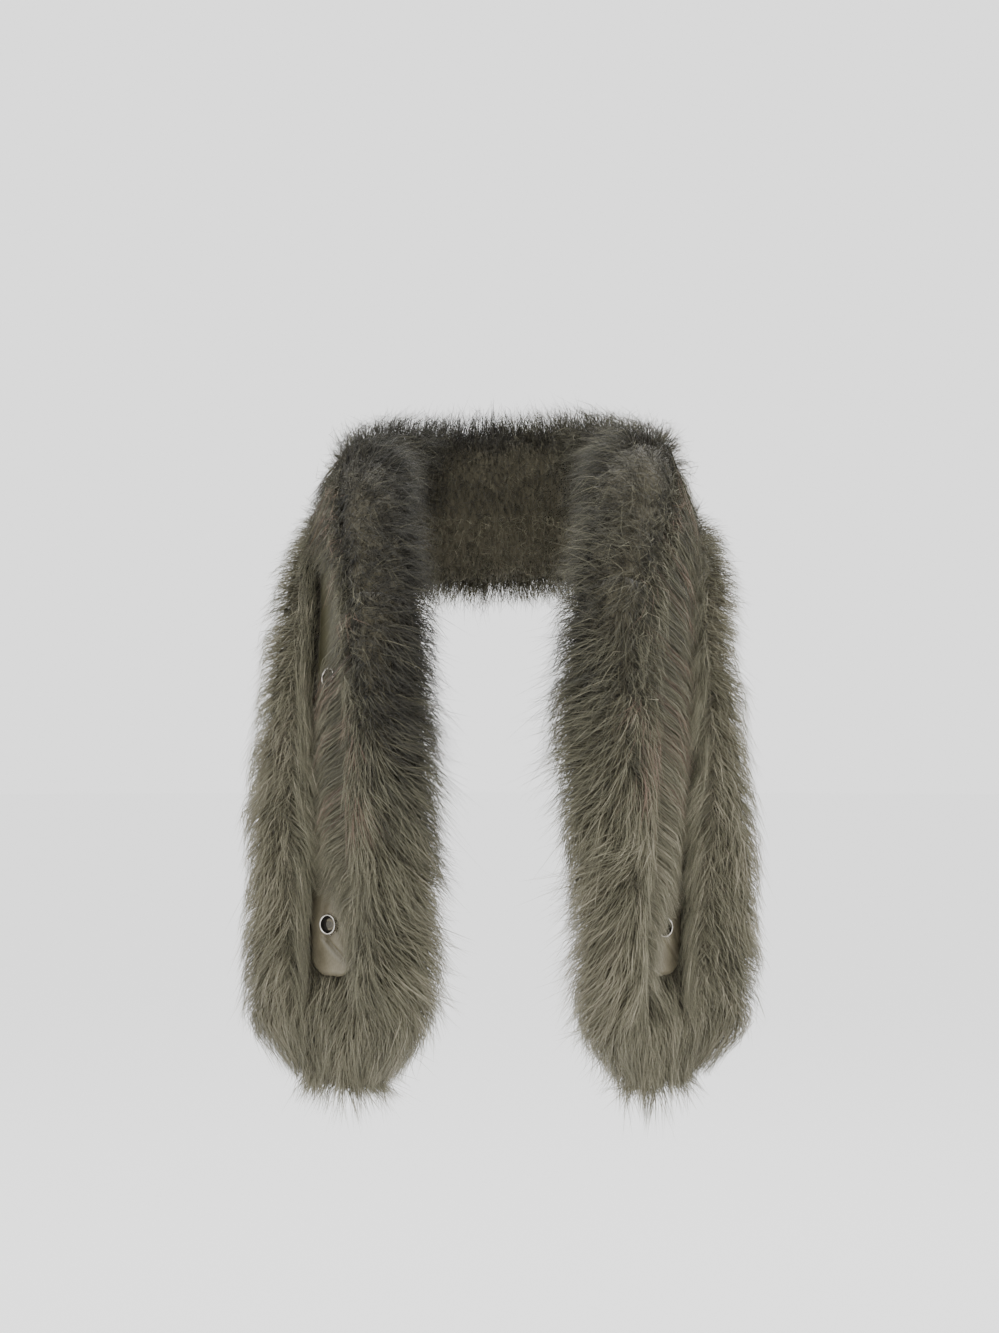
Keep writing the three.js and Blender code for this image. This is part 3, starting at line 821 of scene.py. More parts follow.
def lay_hairs(hairs, rng, roots, habit):
    """Lays hairs from their roots towards their end of the strip. Each is drawn to the middle of its lock and
    wisp, a stray one stands off, and past the strip's end they hang on in uneven tails."""
    side, s, q = roots
    n = len(s)
    outer = side == 0
    hand = np.where(outer, 1.0, -1.0)
    girth = FORM.girth_at(side, s)
    g, edge = q * girth, FLOOR_HALF / girth
    low, ends, flank = lowness(s), endness(s), band(q, *FLANK)
    flow = (s - HALF) / PARTING + rng.normal(0, 0.5, n) * (from_nape(s) < PARTING_SPREAD)
    flow = np.clip(flow, -1, 1)
    lock_s, lock_g, lock = lock_centres(s, g * hand, LOCK_SIZE, LOCK_SEED)
    wisp_s, wisp_g, wisp = lock_centres(s, g * hand, WISP_SIZE, WISP_SEED)
    long = habit["length"] * (NECK_LENGTH + (1 - NECK_LENGTH) * low)
    long = long * (LOCK_LENGTH[0] + LOCK_LENGTH[1] * lock[0]) * rng.uniform(*OWN_LENGTH, n)
    stray = rng.uniform(0, 1, n) < habit["stray_share"] * (2 - low)
    long = np.where(stray, long * STRAY_LENGTH, long)
    long = long * (1 + TIP_LENGTH * smoothstep(from_nape(s), HALF - 16, HALF - 4))
    run, turn, crest = heading(rng, side, s, q, g, edge, low, ends, flank, lock, habit)

    # The tip is drawn to the middle of the lock and, more strongly, of the wisp
    tuft = habit["tuft"] * (0.3 + 0.7 * low + 0.35 * ends)
    drawn = (lock_s - s) * LOCK_DRAW[0] + (wisp_s - s) * WISP_DRAW[0]
    run = run * long + drawn * np.sign(flow) * tuft
    drawn = (lock_g * hand - g) * LOCK_DRAW[1] + (wisp_g * hand - g) * (WISP_DRAW[1] + WISP_DRAW_ENDS * ends)
    turn = turn * long + drawn * tuft

    # How far the tip stands off: its lock's lift, its own fluff, more on the flanks and at the ends, and
    # none on the pressed inner face
    fluff = np.minimum(rng.exponential(1, n), MOST_FLUFF) * habit["fluff"] * (1.9 - 0.9 * low)
    lift = habit["lift"] + habit["lock_lift"] * lock[2] + fluff - habit["settle"] * (1 - low)
    lift = lift + flank * (habit["flare"] + turn**2 / 60) + habit["flare"] * (1 - low) * crest
    lift = lift + np.where(stray, rng.uniform(1.5, 5 + 2 * low, n), 0)
    lift = lift * (1 - 0.75 * smoothstep(q, 0.68, 0.86)) + ends * habit["splay"] * rng.uniform(0, 1, n)
    lift = lift + 2.0 * habit["splay"] * wisp[3] ** 2 * flank * ends * (1 - side)

    # Past the strip's end the tip goes on only as far as its wisp's tail
    s1 = s + run * flow
    over = np.maximum(np.maximum(-s1, s1 - LENGTH), 0)
    aside = np.abs(FORM.look(FORM.a, side, s, q)) / TAIL_SPREAD
    uneven = TAIL_BY[0] + TAIL_BY[1] * lock[3] + TAIL_BY[2] * wisp[3] ** 2 + TAIL_BY[3] * stray
    tail = habit["tail"] * np.clip(1.1 - aside**1.5, 0.05, 1) * uneven
    s1 = s1 - np.sign(s1 - HALF) * (over - np.minimum(over / TAIL_AT, MOST_TAIL) * tail)

    # It stays off the tape, and lies flatter beside the tape where that shows
    least = np.where(bare(s1) > 0.5, 0.0, edge * (1.02 + 0.5 * rng.uniform(0, 1, n) ** 1.5))
    q1 = np.maximum(q + turn / girth, least)
    beside = (1 - smoothstep(q1, edge + 0.02, edge + 0.16)) * (1 - bare(s1))
    beside = beside * (1 - smoothstep(cover(s1), *SHOWN))
    lift = lift * (1 - 0.7 * beside * side)

    # It bends part of the way along, and on the hanging ends it also sags
    root = FORM.point(side, s, q, -FORM.sunk(side, s, q, habit["depth"]))
    bow = lift * 0.45 + habit["bow"] * rng.uniform(0.2, 1.4, n)
    bend = FORM.point(side, s + (s1 - s) * 0.4, q + (q1 - q) * 0.36, bow)
    tip = FORM.point(side, s1, q1, lift)
    drop = habit["droop"] * low * rng.uniform(0.2, 1.3, n) * (1 - 0.8 * ends)
    tip[:, 2] -= drop
    bend[:, 2] -= drop * 0.2
    tip += rng.normal(0, habit["loose"], (n, 3))
    shade = shades(side, s, q, rng, habit, (lock[0], 0.18), (wisp[0], 0.16))
    width = habit["width"] * rng.uniform(0.7, 1.3, n) * np.where(stray, 0.8, 1)
    width = width * (1 - habit["thin"] * (1 - low))
    sway = habit["sway"] * (1.9 - 1.2 * low) * rng.normal(0, 1, n)
    hairs.add(root, bend, tip, width, shade, sway, habit["reach"])


CLOSE_INNER = 0.62  # share of the closing hair that grows on the lobe by the neck
CLOSE_UP = 0.26  # how far up the lobe's side it grows, as a share of the way round
CLOSE_FROM = FLOOR_HALF + 1.5
CLOSE_FULL = 30.0  # the reach over the tape, in millimetres, from which it grows at its densest
CLOSE_LEAST = (0.65, 0.2)  # how dense it is at the least on the outer lobe and on the one by the neck
CLUMP, CLUMP_REACH = 7.0, 10.0  # how long the stretches are that share a run, and a reach, in millimetres


def close_over(hairs, rng, start, end, count, habit):
    """Hair from the groove's walls that lies over the tape, nearly all of it from the lobe by the neck, so
    that a valley stays beside the other lobe."""
    side = (rng.uniform(0, 1, count) < CLOSE_INNER).astype(int)
    s = rng.uniform(start, end, count)
    dense = np.maximum(cover(s) / CLOSE_FULL, np.where(side == 0, *CLOSE_LEAST))
    keep = (rng.uniform(0, 1, count) < dense) & (bare(s) < 0.5)
    side, s = side[keep], s[keep]
    n = len(s)
    outer = side == 0
    flow = np.clip((s - HALF) / 45, -1, 1)
    girth = FORM.girth_at(side, s)
    up = rng.uniform(0.0, CLOSE_UP, n) * np.where(outer, 0.5, 1.0)
    q = FLOOR_HALF / girth + up
    hand = np.where(outer, 1.0, -1.0)
    clump = chance(np.floor(s / CLUMP) + side * 31.0, 5.0)
    other = chance(np.floor(s / CLUMP_REACH) + side * 17.0, 6.0)
    run = habit["length"] * (0.55 + 0.3 * clump) * rng.uniform(0.7, 1.1, n) * np.where(outer, 1.45, 1.0)
    s1 = s + run * flow
    reach_in = cover(s1)
    shown = 1 - smoothstep(reach_in, *SHOWN)
    reach_out = 5.0 + 3.5 * shown + 0.14 * reach_in + 0.4 * reach_in * other**1.5
    reach = np.where(outer, reach_out, reach_in) * (0.42 + 0.25 * other + 0.42 * rng.uniform(0, 1, n) ** 0.6)
    # It bows over the tape, highest where it crosses the tape's middle, and higher round the neck
    bow = rng.uniform(0, 1, n)
    across = reach / (2 * FLOOR_HALF)
    rise = FLOOR_RISE + 4.5 + 9 * bow * (1 - across) + 5.5 * across * (1 - across) * 4
    rise = rise + 7 * bow**2 * (1 - lowness(s))
    root = FORM.point(side, s, q, -FORM.sunk(side, s, q, habit["depth"] * 0.6))
    bend_a = hand * (CLOSE_FROM - reach * 0.6)
    bend = FORM.world(s + run * flow * 0.42, bend_a, FLOOR_RISE + 8.5 + 5 * bow + 5 * across)
    tip = FORM.world(s1, hand * (CLOSE_FROM - reach), rise) + rng.normal(0, habit["loose"], (n, 3))
    valley = (np.where(outer, 0.0, 0.5), 0.16)  # painted shade: darker beside the outer lobe, where the valley lies in shadow
    shade = shades(side, s, q, rng, habit, (clump, 0.1), valley)
    width = habit["width"] * rng.uniform(0.75, 1.25, n)
    hairs.add(root, bend, tip, width, shade, habit["sway"] * rng.normal(0, 1, n), habit["reach"])


# What sets the two kinds of hair apart, in millimetres, radians and shares: how far the tips stand off (lift,
# and more by lock, by hair, on the flanks and at the ends), how the hair bends, hangs, turns and gathers in
# its lock, how far its tail goes past the strip's end, and its shades
GUARD = dict(
    lift=0.2, lock_lift=2.6, fluff=1.4, flare=1.6, splay=4.5, settle=0.0,
    bow=2.4, droop=3.0, loose=0.8, sway=1.6, own_turn=0.25, tuft=0.78, tail=22.5,
    shade=0.02, light=0.34, reach=1.0, thin=0.1,
)
DOWN = dict(
    lift=-2.4, lock_lift=2.2, fluff=0.7, flare=0.6, splay=3.0, settle=1.6,
    bow=0.5, droop=1.5, loose=1.2, sway=0.0, own_turn=0.4, tuft=0.7, tail=11.0,
    shade=0.0, light=0.1, reach=0.85, thin=0.5,
)
ROOT_SINK = 0.6  # each root starts a little under the pelt's face
GUARD_RINGS = (0.0, 0.46)
DOWN_RINGS = (0.0,)
GUARD_SEED, DOWN_SEED = 41, 21
# Piece, stretch of the strip and the share of it that the piece grows on, how many hairs are laid along it,
# how many close over the tape, and the solid it stands for
GUARD_PIECES = [
    ("guard_hair_left", "left", 0.0, 1.0, 15000, 5400, FRONTS["left"]),
    ("guard_hair_neck_left", "neck", 0.0, 0.5, 13000, 2600, NECK),
    ("guard_hair_neck_right", "neck", 0.5, 1.0, 13000, 2600, NECK),
    ("guard_hair_right", "right", 0.0, 1.0, 14400, 5400, FRONTS["right"]),
]
DOWN_PIECES = [
    ("down_hair_left", "left", 0.0, 1.0, 15000, 3000, FRONTS["left"]),
    ("down_hair_neck", "neck", 0.0, 1.0, 20000, 2600, NECK),
    ("down_hair_right", "right", 0.0, 1.0, 15000, 3000, FRONTS["right"]),
]


def make_hair(rows, rings, kind, settings, depth, finish, seed):
    """Lays all pieces of one kind of hair, each from a seed of its own."""
    habit = dict(
        kind,
        length=settings.length / MM,
        width=settings.width / MM,
        curl=settings.curl,
        stray_share=settings.stray_share,
        light_share=settings.light_share,
        depth=depth / MM + ROOT_SINK,
    )
    for number, (name, stretch, low, high, count, over, node_name) in enumerate(rows):
        rng = np.random.default_rng(seed + number)
        start, end = STRETCHES[stretch]
        start, end = start + (end - start) * low, start + (end - start) * high
        hairs = Hairs(rings)
        roots = scatter(rng, round(count * settings.density), start, end)
        lay_hairs(hairs, rng, roots, habit)
        close_over(hairs, rng, start, end, round(over * settings.density), habit)
        add_piece(name, hairs.mesh(name, rng), [finish], node_name)


# Tape


TAB = 60.0  # the stretch at each end that is modelled finely, in millimetres
TAB_ROWS, TAPE_ROW_STEP, TAPE_COLUMNS = 84, 3.5, 33
TAB_CURVE = 1.1  # the power by which the rows gather at the very end
COLUMN_CURVE = 0.9 * math.pi / 2  # how strongly the columns gather at the edges
LEAST_HALF = 3.0
SHADED = (0.25, 0.39)  # metres from the nape up to which the fur shades the tape fully, and at all


def tape_half(distance, corner):
    """Half the tape's width, less at its rounded ends."""
    inward = np.minimum(distance - TAPE_FROM, TAPE_TO - distance)
    short = np.maximum(0, corner - inward)
    return TAPE_WIDTH / 2 - corner + np.sqrt(np.maximum(corner**2 - short**2, 0))


def snap_distances():
    """The snaps' distances along the strip: evenly spaced on the groove's floor."""
    gap = (TAPE_LENGTH - 2 * SNAP_FROM_END) / (SNAP_COUNT - 1)
    return [RUN_STEPS[np.argmax(RUN_LENGTHS >= SNAP_FROM_END + gap * i)] for i in range(SNAP_COUNT)]


SNAPS = snap_distances()
TAPE_MAP = "tape_weave"
# Creases in the tape, in millimetres from its end (left tab, then right) or from a snap: from along and
# across, to along and across, width and depth
LEFT_CREASES = [
    (18.5, 3.5, 5.0, -12.0, 1.7, 3.7),
    (23.0, -6.0, 7.5, -13.0, 1.4, 2.6),
    (37.0, -11.0, 27.0, -7.0, 1.2, 1.1),
    (33.0, 4.0, 60.0, -5.0, 2.0, 0.9),
    (9.0, 9.0, 3.0, 2.0, 2.4, 0.5),
]
RIGHT_CREASES = [
    (20.0, 1.0, 8.0, 10.5, 1.3, 1.5),
    (27.0, 6.0, 15.0, 13.0, 1.2, 1.0),
    (32.0, -3.0, 50.0, -8.0, 1.8, 0.8),
    (10.0, -8.0, 16.0, 1.0, 2.0, 0.6),
]
SNAP_CREASES = [
    (6.0, 2.0, 24.0, 7.0, 1.4, 0.9),
    (-6.0, -2.5, -22.0, -8.0, 1.5, 0.9),
    (5.0, -4.0, 15.0, -11.0, 1.3, 0.7),
    (-5.0, 4.0, -17.0, 10.5, 1.3, 0.7),
]
CREASE_FADE = 0.6  # how much shallower a crease is at its far end
RIPPLE = 0.25  # how far the slack tape waves between its snaps, in millimetres
PRESS_RISE, PRESS_AT, PRESS_SPREAD = 0.5, 8.5, 3.0  # the ring of cloth that rises round a pressed snap
PRESS_SINK, PRESS_REACH = 0.35, 5.0  # the cloth under the snap
EDGE_RISE, EDGE_TURN = 0.55, 2.2  # the turned edge's height, and how far in it ends


def trough(s, a, row):
    """How deep a crease is at each point: a soft line that fades at both ends."""
    x0, y0, x1, y1, width, depth = row
    dx, dy = x1 - x0, y1 - y0
    share = np.clip(((s - x0) * dx + (a - y0) * dy) / (dx * dx + dy * dy), 0, 1)
    near = np.hypot(s - x0 - share * dx, a - y0 - share * dy)
    return depth * np.exp(-((near / width) ** 2)) * (1 - CREASE_FADE * share)


def tape_height(s, a, settings):
    """The tape's face over the groove's floor: its puff, creases, slack between snaps and turned edges."""
    half = tape_half(s, settings.corner / MM)
    rise = SEAM_GAP + TAPE_THICKNESS + TAPE_LIFT + settings.puff / MM * np.cos(a / TAPE_WIDTH * np.pi) ** 2
    rise = rise + RIPPLE * np.sin(s / 9.1 + 1.3 * np.sin(s / 23.0)) * np.cos(a / 6.3 + s / 31.0)
    folds = 0.0
    for row in LEFT_CREASES:
        folds = folds + trough(s - TAPE_FROM, a, row)
    for row in RIGHT_CREASES:
        folds = folds + trough(TAPE_TO - s, a, row)
    for place in SNAPS[1:-1]:
        turn = 1.0 if int(place) % 2 else -1.0
        for row in SNAP_CREASES:
            folds = folds + trough((s - place) * turn, a, row)
    rise = rise - settings.folds * folds
    for place in SNAPS:
        press = np.hypot(s - place, a)
        rise = rise + PRESS_RISE * np.exp(-(((press - PRESS_AT) / PRESS_SPREAD) ** 2))
        rise = rise - PRESS_SINK * np.exp(-((press / PRESS_REACH) ** 4))
    edge = np.minimum(half - np.abs(a), np.minimum(s - TAPE_FROM, TAPE_TO - s))
    return rise * (EDGE_RISE + (1 - EDGE_RISE) * smoothstep(edge, 0, EDGE_TURN))


def make_tape(settings, finish):
    """The tape as a sheet over the groove's floor, finer on its two tabs and towards its edges."""
    tab = TAB * np.linspace(0, 1, TAB_ROWS + 1)[:-1] ** TAB_CURVE
    middle = stations(TAPE_FROM + TAB, TAPE_TO - TAB, TAPE_ROW_STEP)
    distance = np.concatenate([TAPE_FROM + tab, middle, TAPE_TO - tab[::-1]])
    share = np.sin(np.linspace(-1, 1, TAPE_COLUMNS) * COLUMN_CURVE) / math.sin(COLUMN_CURVE)
    half = np.maximum(tape_half(distance, settings.corner / MM), LEAST_HALF)
    s = np.repeat(distance, len(share))
    a = (half[:, None] * share[None]).ravel()
    rise = tape_height(s, a, settings)
    points = over_floor(s, a, rise).reshape(len(distance), len(share), 3)
    ways = np.stack([s * MM, a * MM], 1).reshape(len(distance), len(share), 2)
    mesh = finish_mesh(grid_mesh(points, closed=False, uv=(TAPE_MAP, ways)), "tape_satin")
    piece = add_piece("tape_satin", mesh, [finish], "tape")
    add_wall(piece, settings.wall)
    return piece


def over_floor(s, a, rise):
    """Points over the groove's floor."""
    place, _, across, out, _ = frames_at(s)
    return place + across * a[:, None] + out * (FLOOR_RISE + rise)[:, None]


def tape_material(settings):
    """Taupe satin-faced tape: fine floats along its length give a soft, drawn-out sheen, and its colour
    carries painted highlight on the floats and painted shade in their lee, mottled by wear. By the neck it
    carries painted shade where the fur shades it."""
    made, tree = material("satin_tape")
    weave = node(tree, "ShaderNodeUVMap", uv_map=TAPE_MAP)
    # Threads of about 0.3 mm, drawn at 0.5 mm so that they show
    threads = node(tree, "ShaderNodeMapping", {"Vector": weave.outputs[0], "Scale": (700.0, 2000.0, 1.0)})
    floats = node(tree, "ShaderNodeTexNoise", {"Vector": threads.outputs[0], "Scale": 1.0, "Detail": 2.0})
    place = node(tree, "ShaderNodeTexCoord").outputs["Object"]
    # Wear in patches of about 11 mm
    wear = node(tree, "ShaderNodeTexNoise", {"Vector": place, "Scale": 90.0, "Detail": 3.0})
    tone = node(tree, "ShaderNodeMath", {0: wear.outputs["Fac"], 1: 0.55}, operation="MULTIPLY")
    parts = {0: floats.outputs["Fac"], 1: 0.45, 2: tone.outputs[0]}
    both = node(tree, "ShaderNodeMath", parts, operation="MULTIPLY_ADD")
    # Painted highlight where the floats gleam and painted shade in their lee, mottled by wear
    colour = ramp(tree, both.outputs[0], [(0.3, settings.dark), (0.5, settings.mid), (0.72, settings.light)])
    # Painted shade: the tape is darker and more olive by the neck, where the fur shades it
    run = node(tree, "ShaderNodeSeparateXYZ", {0: weave.outputs[0]}).outputs["X"]
    far = node(tree, "ShaderNodeMath", {0: run, 1: HALF * MM}, operation="SUBTRACT").outputs[0]
    far = node(tree, "ShaderNodeMath", {0: far}, operation="ABSOLUTE").outputs[0]
    far = node(tree, "ShaderNodeMapRange", {0: far, 1: SHADED[0], 2: SHADED[1]}).outputs[0]
    fur_shade_tint = ramp(tree, far, [(0.0, settings.neck_shade), (1.0, WHITE)])
    mix = {0: 1.0, 6: colour, 7: fur_shade_tint}
    shaded = node(tree, "ShaderNodeMix", mix, data_type="RGBA", blend_type="MULTIPLY")
    height = floats.outputs["Fac"]
    bump = node(tree, "ShaderNodeBump", {"Height": height, "Strength": 0.3, "Distance": 0.4 * MM})
    surface(
        tree,
        {
            "Base Color": shaded.outputs[2],
            "Roughness": 0.46,
            "Specular IOR Level": 0.45,
            "Anisotropic": 0.35,
            "Sheen Weight": 0.15,
            "Sheen Roughness": 0.35,
            "Sheen Tint": linear("#c2bd9c"),
            "Normal": bump.outputs[0],
        },
    )
    return made


# Snap sockets

SOCKET_PROFILE = [
    (0.0, 0.9), (0.9, 0.88), (2.5, 0.7), (3.0, 0.75), (3.6, 1.3), (4.1, 2.2), (4.42, 2.85), (4.6, 3.1),
    (4.86, 3.2), (5.12, 3.12), (5.32, 2.8), (5.42, 2.2), (5.5, 1.76), (5.72, 1.4), (5.8, 1.2), (5.8, 0.3),
    (5.6, 0.05), (0.0, 0.0),
]
SOCKET_STEPS = 56
RIM_BASE, RIM_TOP, RIM_INSIDE, CUP_FLOOR = 0.5, 2.6, 4.4, 2.5  # heights and radii where the finishes change


def socket_mesh(name, distance, scale):
    """A ring socket turned from its profile, square to the tape, with its rim, cup wall and cup floor."""
    place, along, across, out, _ = (v[0] for v in frames_at(np.array([distance])))
    lift = FLOOR_RISE + SEAM_GAP + TAPE_THICKNESS + TAPE_PUFF + SEAM_GAP + SNAP_LIFT
    origin = place + out * lift
    bm = bmesh.new()
    profile = [bm.verts.new((r * scale, 0, z)) for r, z in SOCKET_PROFILE]
    line = [bm.edges.new(pair) for pair in zip(profile, profile[1:])]
    bmesh.ops.spin(
        bm,
        geom=profile + line,
        cent=(0, 0, 0),
        axis=(0, 0, 1),
        angle=math.tau,
        steps=SOCKET_STEPS,
        use_merge=True,
    )
    bmesh.ops.remove_doubles(bm, verts=bm.verts, dist=0.01)
    bmesh.ops.recalc_face_normals(bm, faces=bm.faces)
    for face in bm.faces:
        middle = face.calc_center_median()
        wide = math.hypot(middle.x, middle.y) / scale
        outside = middle.z < RIM_BASE or middle.z > RIM_TOP or wide > RIM_INSIDE
        face.material_index = 0 if outside else 1 if wide > CUP_FLOOR else 2
    basis = Matrix(np.stack([along, across, out, origin], 1).tolist()).to_4x4()
    bmesh.ops.transform(bm, verts=bm.verts, matrix=Matrix.Scale(MM, 4) @ basis)
    return finish_mesh(bm, name)


def nickel_material(settings):
    """Nickel-plated brass, stamped and barrel-polished: bright, with faint rubbing."""
    made, tree = material("nickel_plate")
    place = node(tree, "ShaderNodeTexCoord").outputs["Object"]
    # Rubbed spots of about 1 mm
    rub = node(tree, "ShaderNodeTexNoise", {"Vector": place, "Scale": 900.0, "Detail": 3.0})
    colour = ramp(tree, rub.outputs["Fac"], [(0.3, settings.rim_dark), (0.6, settings.rim_light)])
    rough = node(tree, "ShaderNodeMapRange", {0: rub.outputs["Fac"], 3: 0.18, 4: 0.34})
    surface(tree, {"Base Color": colour, "Metallic": 1.0, "Roughness": rough.outputs[0]})
    return made


def recess_material(name, dark, light):
    """The socket's cup: unpolished plate, a darker grey than the rim on its floor, and near black on its
    wall, which is painted shade of the cup.
    """
    made, tree = material(name)
    place = node(tree, "ShaderNodeTexCoord").outputs["Object"]
    # Grains of about 0.8 mm between its two colours
    grain = node(tree, "ShaderNodeTexNoise", {"Vector": place, "Scale": 1200.0, "Detail": 2.0})
    colour = ramp(tree, grain.outputs["Fac"], [(0.35, dark), (0.65, light)])
    surface(tree, {"Base Color": colour, "Metallic": 0.8, "Roughness": 0.55})
    return made


# Stage

CAMERA_AT = (0.0014, -1.858, -0.089)
LENS = 88.4
FLOOR_RADIUS, FLOOR_SIDES = 14.0, 96
LIGHTS_AT = Vector((0, -0.06, -0.13))
# Light, its place, its size and its share of the key light's power
LIGHTS = [
    ("key_light", (-1.2, -2.0, 1.9), 1.6, 1.0),
    ("fill_light", (1.9, -1.7, 0.9), 1.8, 0.5),
    ("rim_light", (0.4, 2.0, 1.7), 1.6, 0.5),
]


def make_stage(settings):
    """A plain matt floor in pale surroundings, three soft lights, and a level camera in front."""
    made, tree = material("matt_floor")
    place = node(tree, "ShaderNodeTexCoord").outputs["Object"]
    # A grain of about 3 mm
    grain = node(tree, "ShaderNodeTexNoise", {"Vector": place, "Scale": 300.0})
    colour = ramp(tree, grain.outputs["Fac"], [(0.4, settings.floor_dark), (0.6, settings.floor_light)])
    surface(tree, {"Base Color": colour, "Roughness": 0.9})
    bm = bmesh.new()
    bmesh.ops.create_circle(bm, cap_ends=True, segments=FLOOR_SIDES, radius=FLOOR_RADIUS)
    bmesh.ops.translate(bm, verts=bm.verts, vec=(0, 0, -settings.drop))
    floor = add_object("floor", finish_mesh(bm, "floor", smooth=False))
    floor.data.materials.append(made)
    world = bpy.data.worlds.new("studio")
    world.use_nodes = True
    background = world.node_tree.nodes["Background"]
    background.inputs["Color"].default_value = settings.backdrop
    background.inputs["Strength"].default_value = settings.ambient
    bpy.context.scene.world = world
    for name, at, width, power in LIGHTS:
        data = bpy.data.lights.new(name, "AREA")
        data.energy, data.size = settings.key * power, width
        lamp = add_object(name, data)
        lamp.location = at
        lamp.rotation_mode = "QUATERNION"
        lamp.rotation_quaternion = (LIGHTS_AT - Vector(at)).to_track_quat("-Z", "Y")
    data = bpy.data.cameras.new("camera")
    data.lens = LENS
    camera = add_object("camera", data)
    camera.location = CAMERA_AT
    camera.rotation_euler = (math.radians(90), 0, 0)
    bpy.context.scene.camera = camera


# The add-on's settings, operators and panel


def size(name, description, millimetres):
    """A length, whose default is given in millimetres."""
    return bpy.props.FloatProperty(
        name=name, description=description, default=millimetres * MM, min=0.0, precision=5, unit="LENGTH"
    )


def share(name, description, default, highest=1.0):
    """A factor from 0 up to the highest."""
    return bpy.props.FloatProperty(
        name=name, description=description, default=default, min=0.0, max=highest, subtype="FACTOR"
    )


def colour(name, description, default):
    """A colour, whose default is given as sRGB hex."""
    return bpy.props.FloatVectorProperty(
        name=name, description=description, default=linear(default), size=4, min=0.0, max=1.0, subtype="COLOR"
    )


class PeltSettings(bpy.types.PropertyGroup):
    depth: size("Hair depth", "How far the pelt lies under the hair's outline", 7.4)
    wall: size("Pelt thickness", "Thickness of the leather with its dense down", 2.0)
    dark: colour("Pelt, dark", "Shade between the hairs", "#302d22")
    mid: colour("Pelt, middle", "Main shade of the dense down", "#474335")
    light: colour("Pelt, light", "Lightest shade of the dense down", "#5d5849")


class DownSettings(bpy.types.PropertyGroup):
    length: size("Down length", "Length of the longest underfur", 20.0)
    width: size("Down width", "Width of a tuft of down at its root", 1.0)
    curl: share("Down curl", "How much more the down turns round the neck than at the ends", 0.8, 3.0)
    density: share("Down density", "Share of the tufts that are laid", 1.0)
    stray_share: share("Loose down", "Share of the tufts that stand off", 0.0)
    light_share: share("Light down", "Share of the tufts that are paler than their lock", 0.1)
    root_dark: colour("Down root, dark", "Root of the darkest down", "#0e0d09")
    root_mid: colour("Down root, middle", "Root of the main down", "#403d2d")
    root_light: colour("Down root, light", "Root of the lightest down", "#665f4e")
    root_brown: colour("Down root, undyed", "Root of the down that kept its brown", "#4a3c30")
    tip_dark: colour("Down tip, dark", "Tip of the darkest down", "#1c1b14")
    tip_mid: colour("Down tip, middle", "Tip of the main down", "#6c6952")
    tip_light: colour("Down tip, light", "Tip of the lightest down", "#9b937e")
    tip_brown: colour("Down tip, undyed", "Tip of the down that kept its brown", "#725f51")
    sheen: share("Down sheen", "Soft gleam at a grazing angle", 0.08)


class GuardSettings(bpy.types.PropertyGroup):
    length: size("Guard length", "Length of the longest guard hair", 36.0)
    width: size("Guard width", "Width of a guard hair at its root", 0.4)
    curl: share("Guard curl", "How much more the hair turns round the neck than at the ends", 1.6, 3.0)
    density: share("Guard density", "Share of the guard hairs that are laid", 1.0)
    stray_share: share("Stray hair", "Share of the guard hairs that stand off", 0.06)
    light_share: share("Light hair", "Share of the guard hairs that are paler than their lock", 0.16)
    root_dark: colour("Guard root, dark", "Root of the darkest guard hair", "#100f0b")
    root_mid: colour("Guard root, middle", "Root of the main guard hair", "#484533")
    root_light: colour("Guard root, light", "Root of the lightest guard hair", "#6f6855")
    root_brown: colour("Guard root, undyed", "Root of the guard hair that kept its brown", "#54463a")
    tip_dark: colour("Guard tip, dark", "Tip of the darkest guard hair", "#1f1e17")
    tip_mid: colour("Guard tip, middle", "Tip of the main guard hair", "#7c7962")
    tip_light: colour("Guard tip, light", "Tip of the lightest guard hair", "#bab29c")
    tip_brown: colour("Guard tip, undyed", "Tip of the guard hair that kept its brown", "#826c5c")
    sheen: share("Guard sheen", "Soft gleam at a grazing angle", 0.1)


class TapeSettings(bpy.types.PropertyGroup):
    corner: size("Corner radius", "Radius of the tape's rounded ends", 11.5)
    puff: size("Crown", "How far the tape stands up along its middle", 1.95)
    wall: size("Tape thickness", "Thickness of the folded tape", 0.7)
    folds: share("Folds", "Depth of the creases round the snaps", 1.0, 2.0)
    dark: colour("Tape, dark", "Tape in the lee of its threads", "#494435")
    mid: colour("Tape, middle", "Main colour of the tape", "#5c5645")
    light: colour("Tape, light", "Tape where its floats gleam", "#6e6855")
    neck_shade: colour("Tape by the neck", "Tint of the tape where the fur shades it", "#8f927a")


class SocketSettings(bpy.types.PropertyGroup):
    scale: share("Socket size", "Size of the snap sockets, 1 for a 11.6 mm ring", 1.0, 1.5)
    rim_dark: colour("Plate, worn", "Nickel plate where it is rubbed", "#a39e95")
    rim_light: colour("Plate, bright", "Bright nickel plate", "#c4c0b8")
    # Painted shade: the cup's wall is near black, standing for the shadow inside the cup
    wall_shade_dark: colour("Cup wall, dark", "Darkest tarnish in the cup", "#0f0d0a")
    wall_shade_light: colour("Cup wall, light", "Lightest tarnish on the cup's wall", "#1c1914")
    floor_dark: colour("Cup floor, dark", "Tarnish on the cup's floor", "#4a4740")
    floor_light: colour("Cup floor, light", "Cleaner plate on the cup's floor", "#625f57")


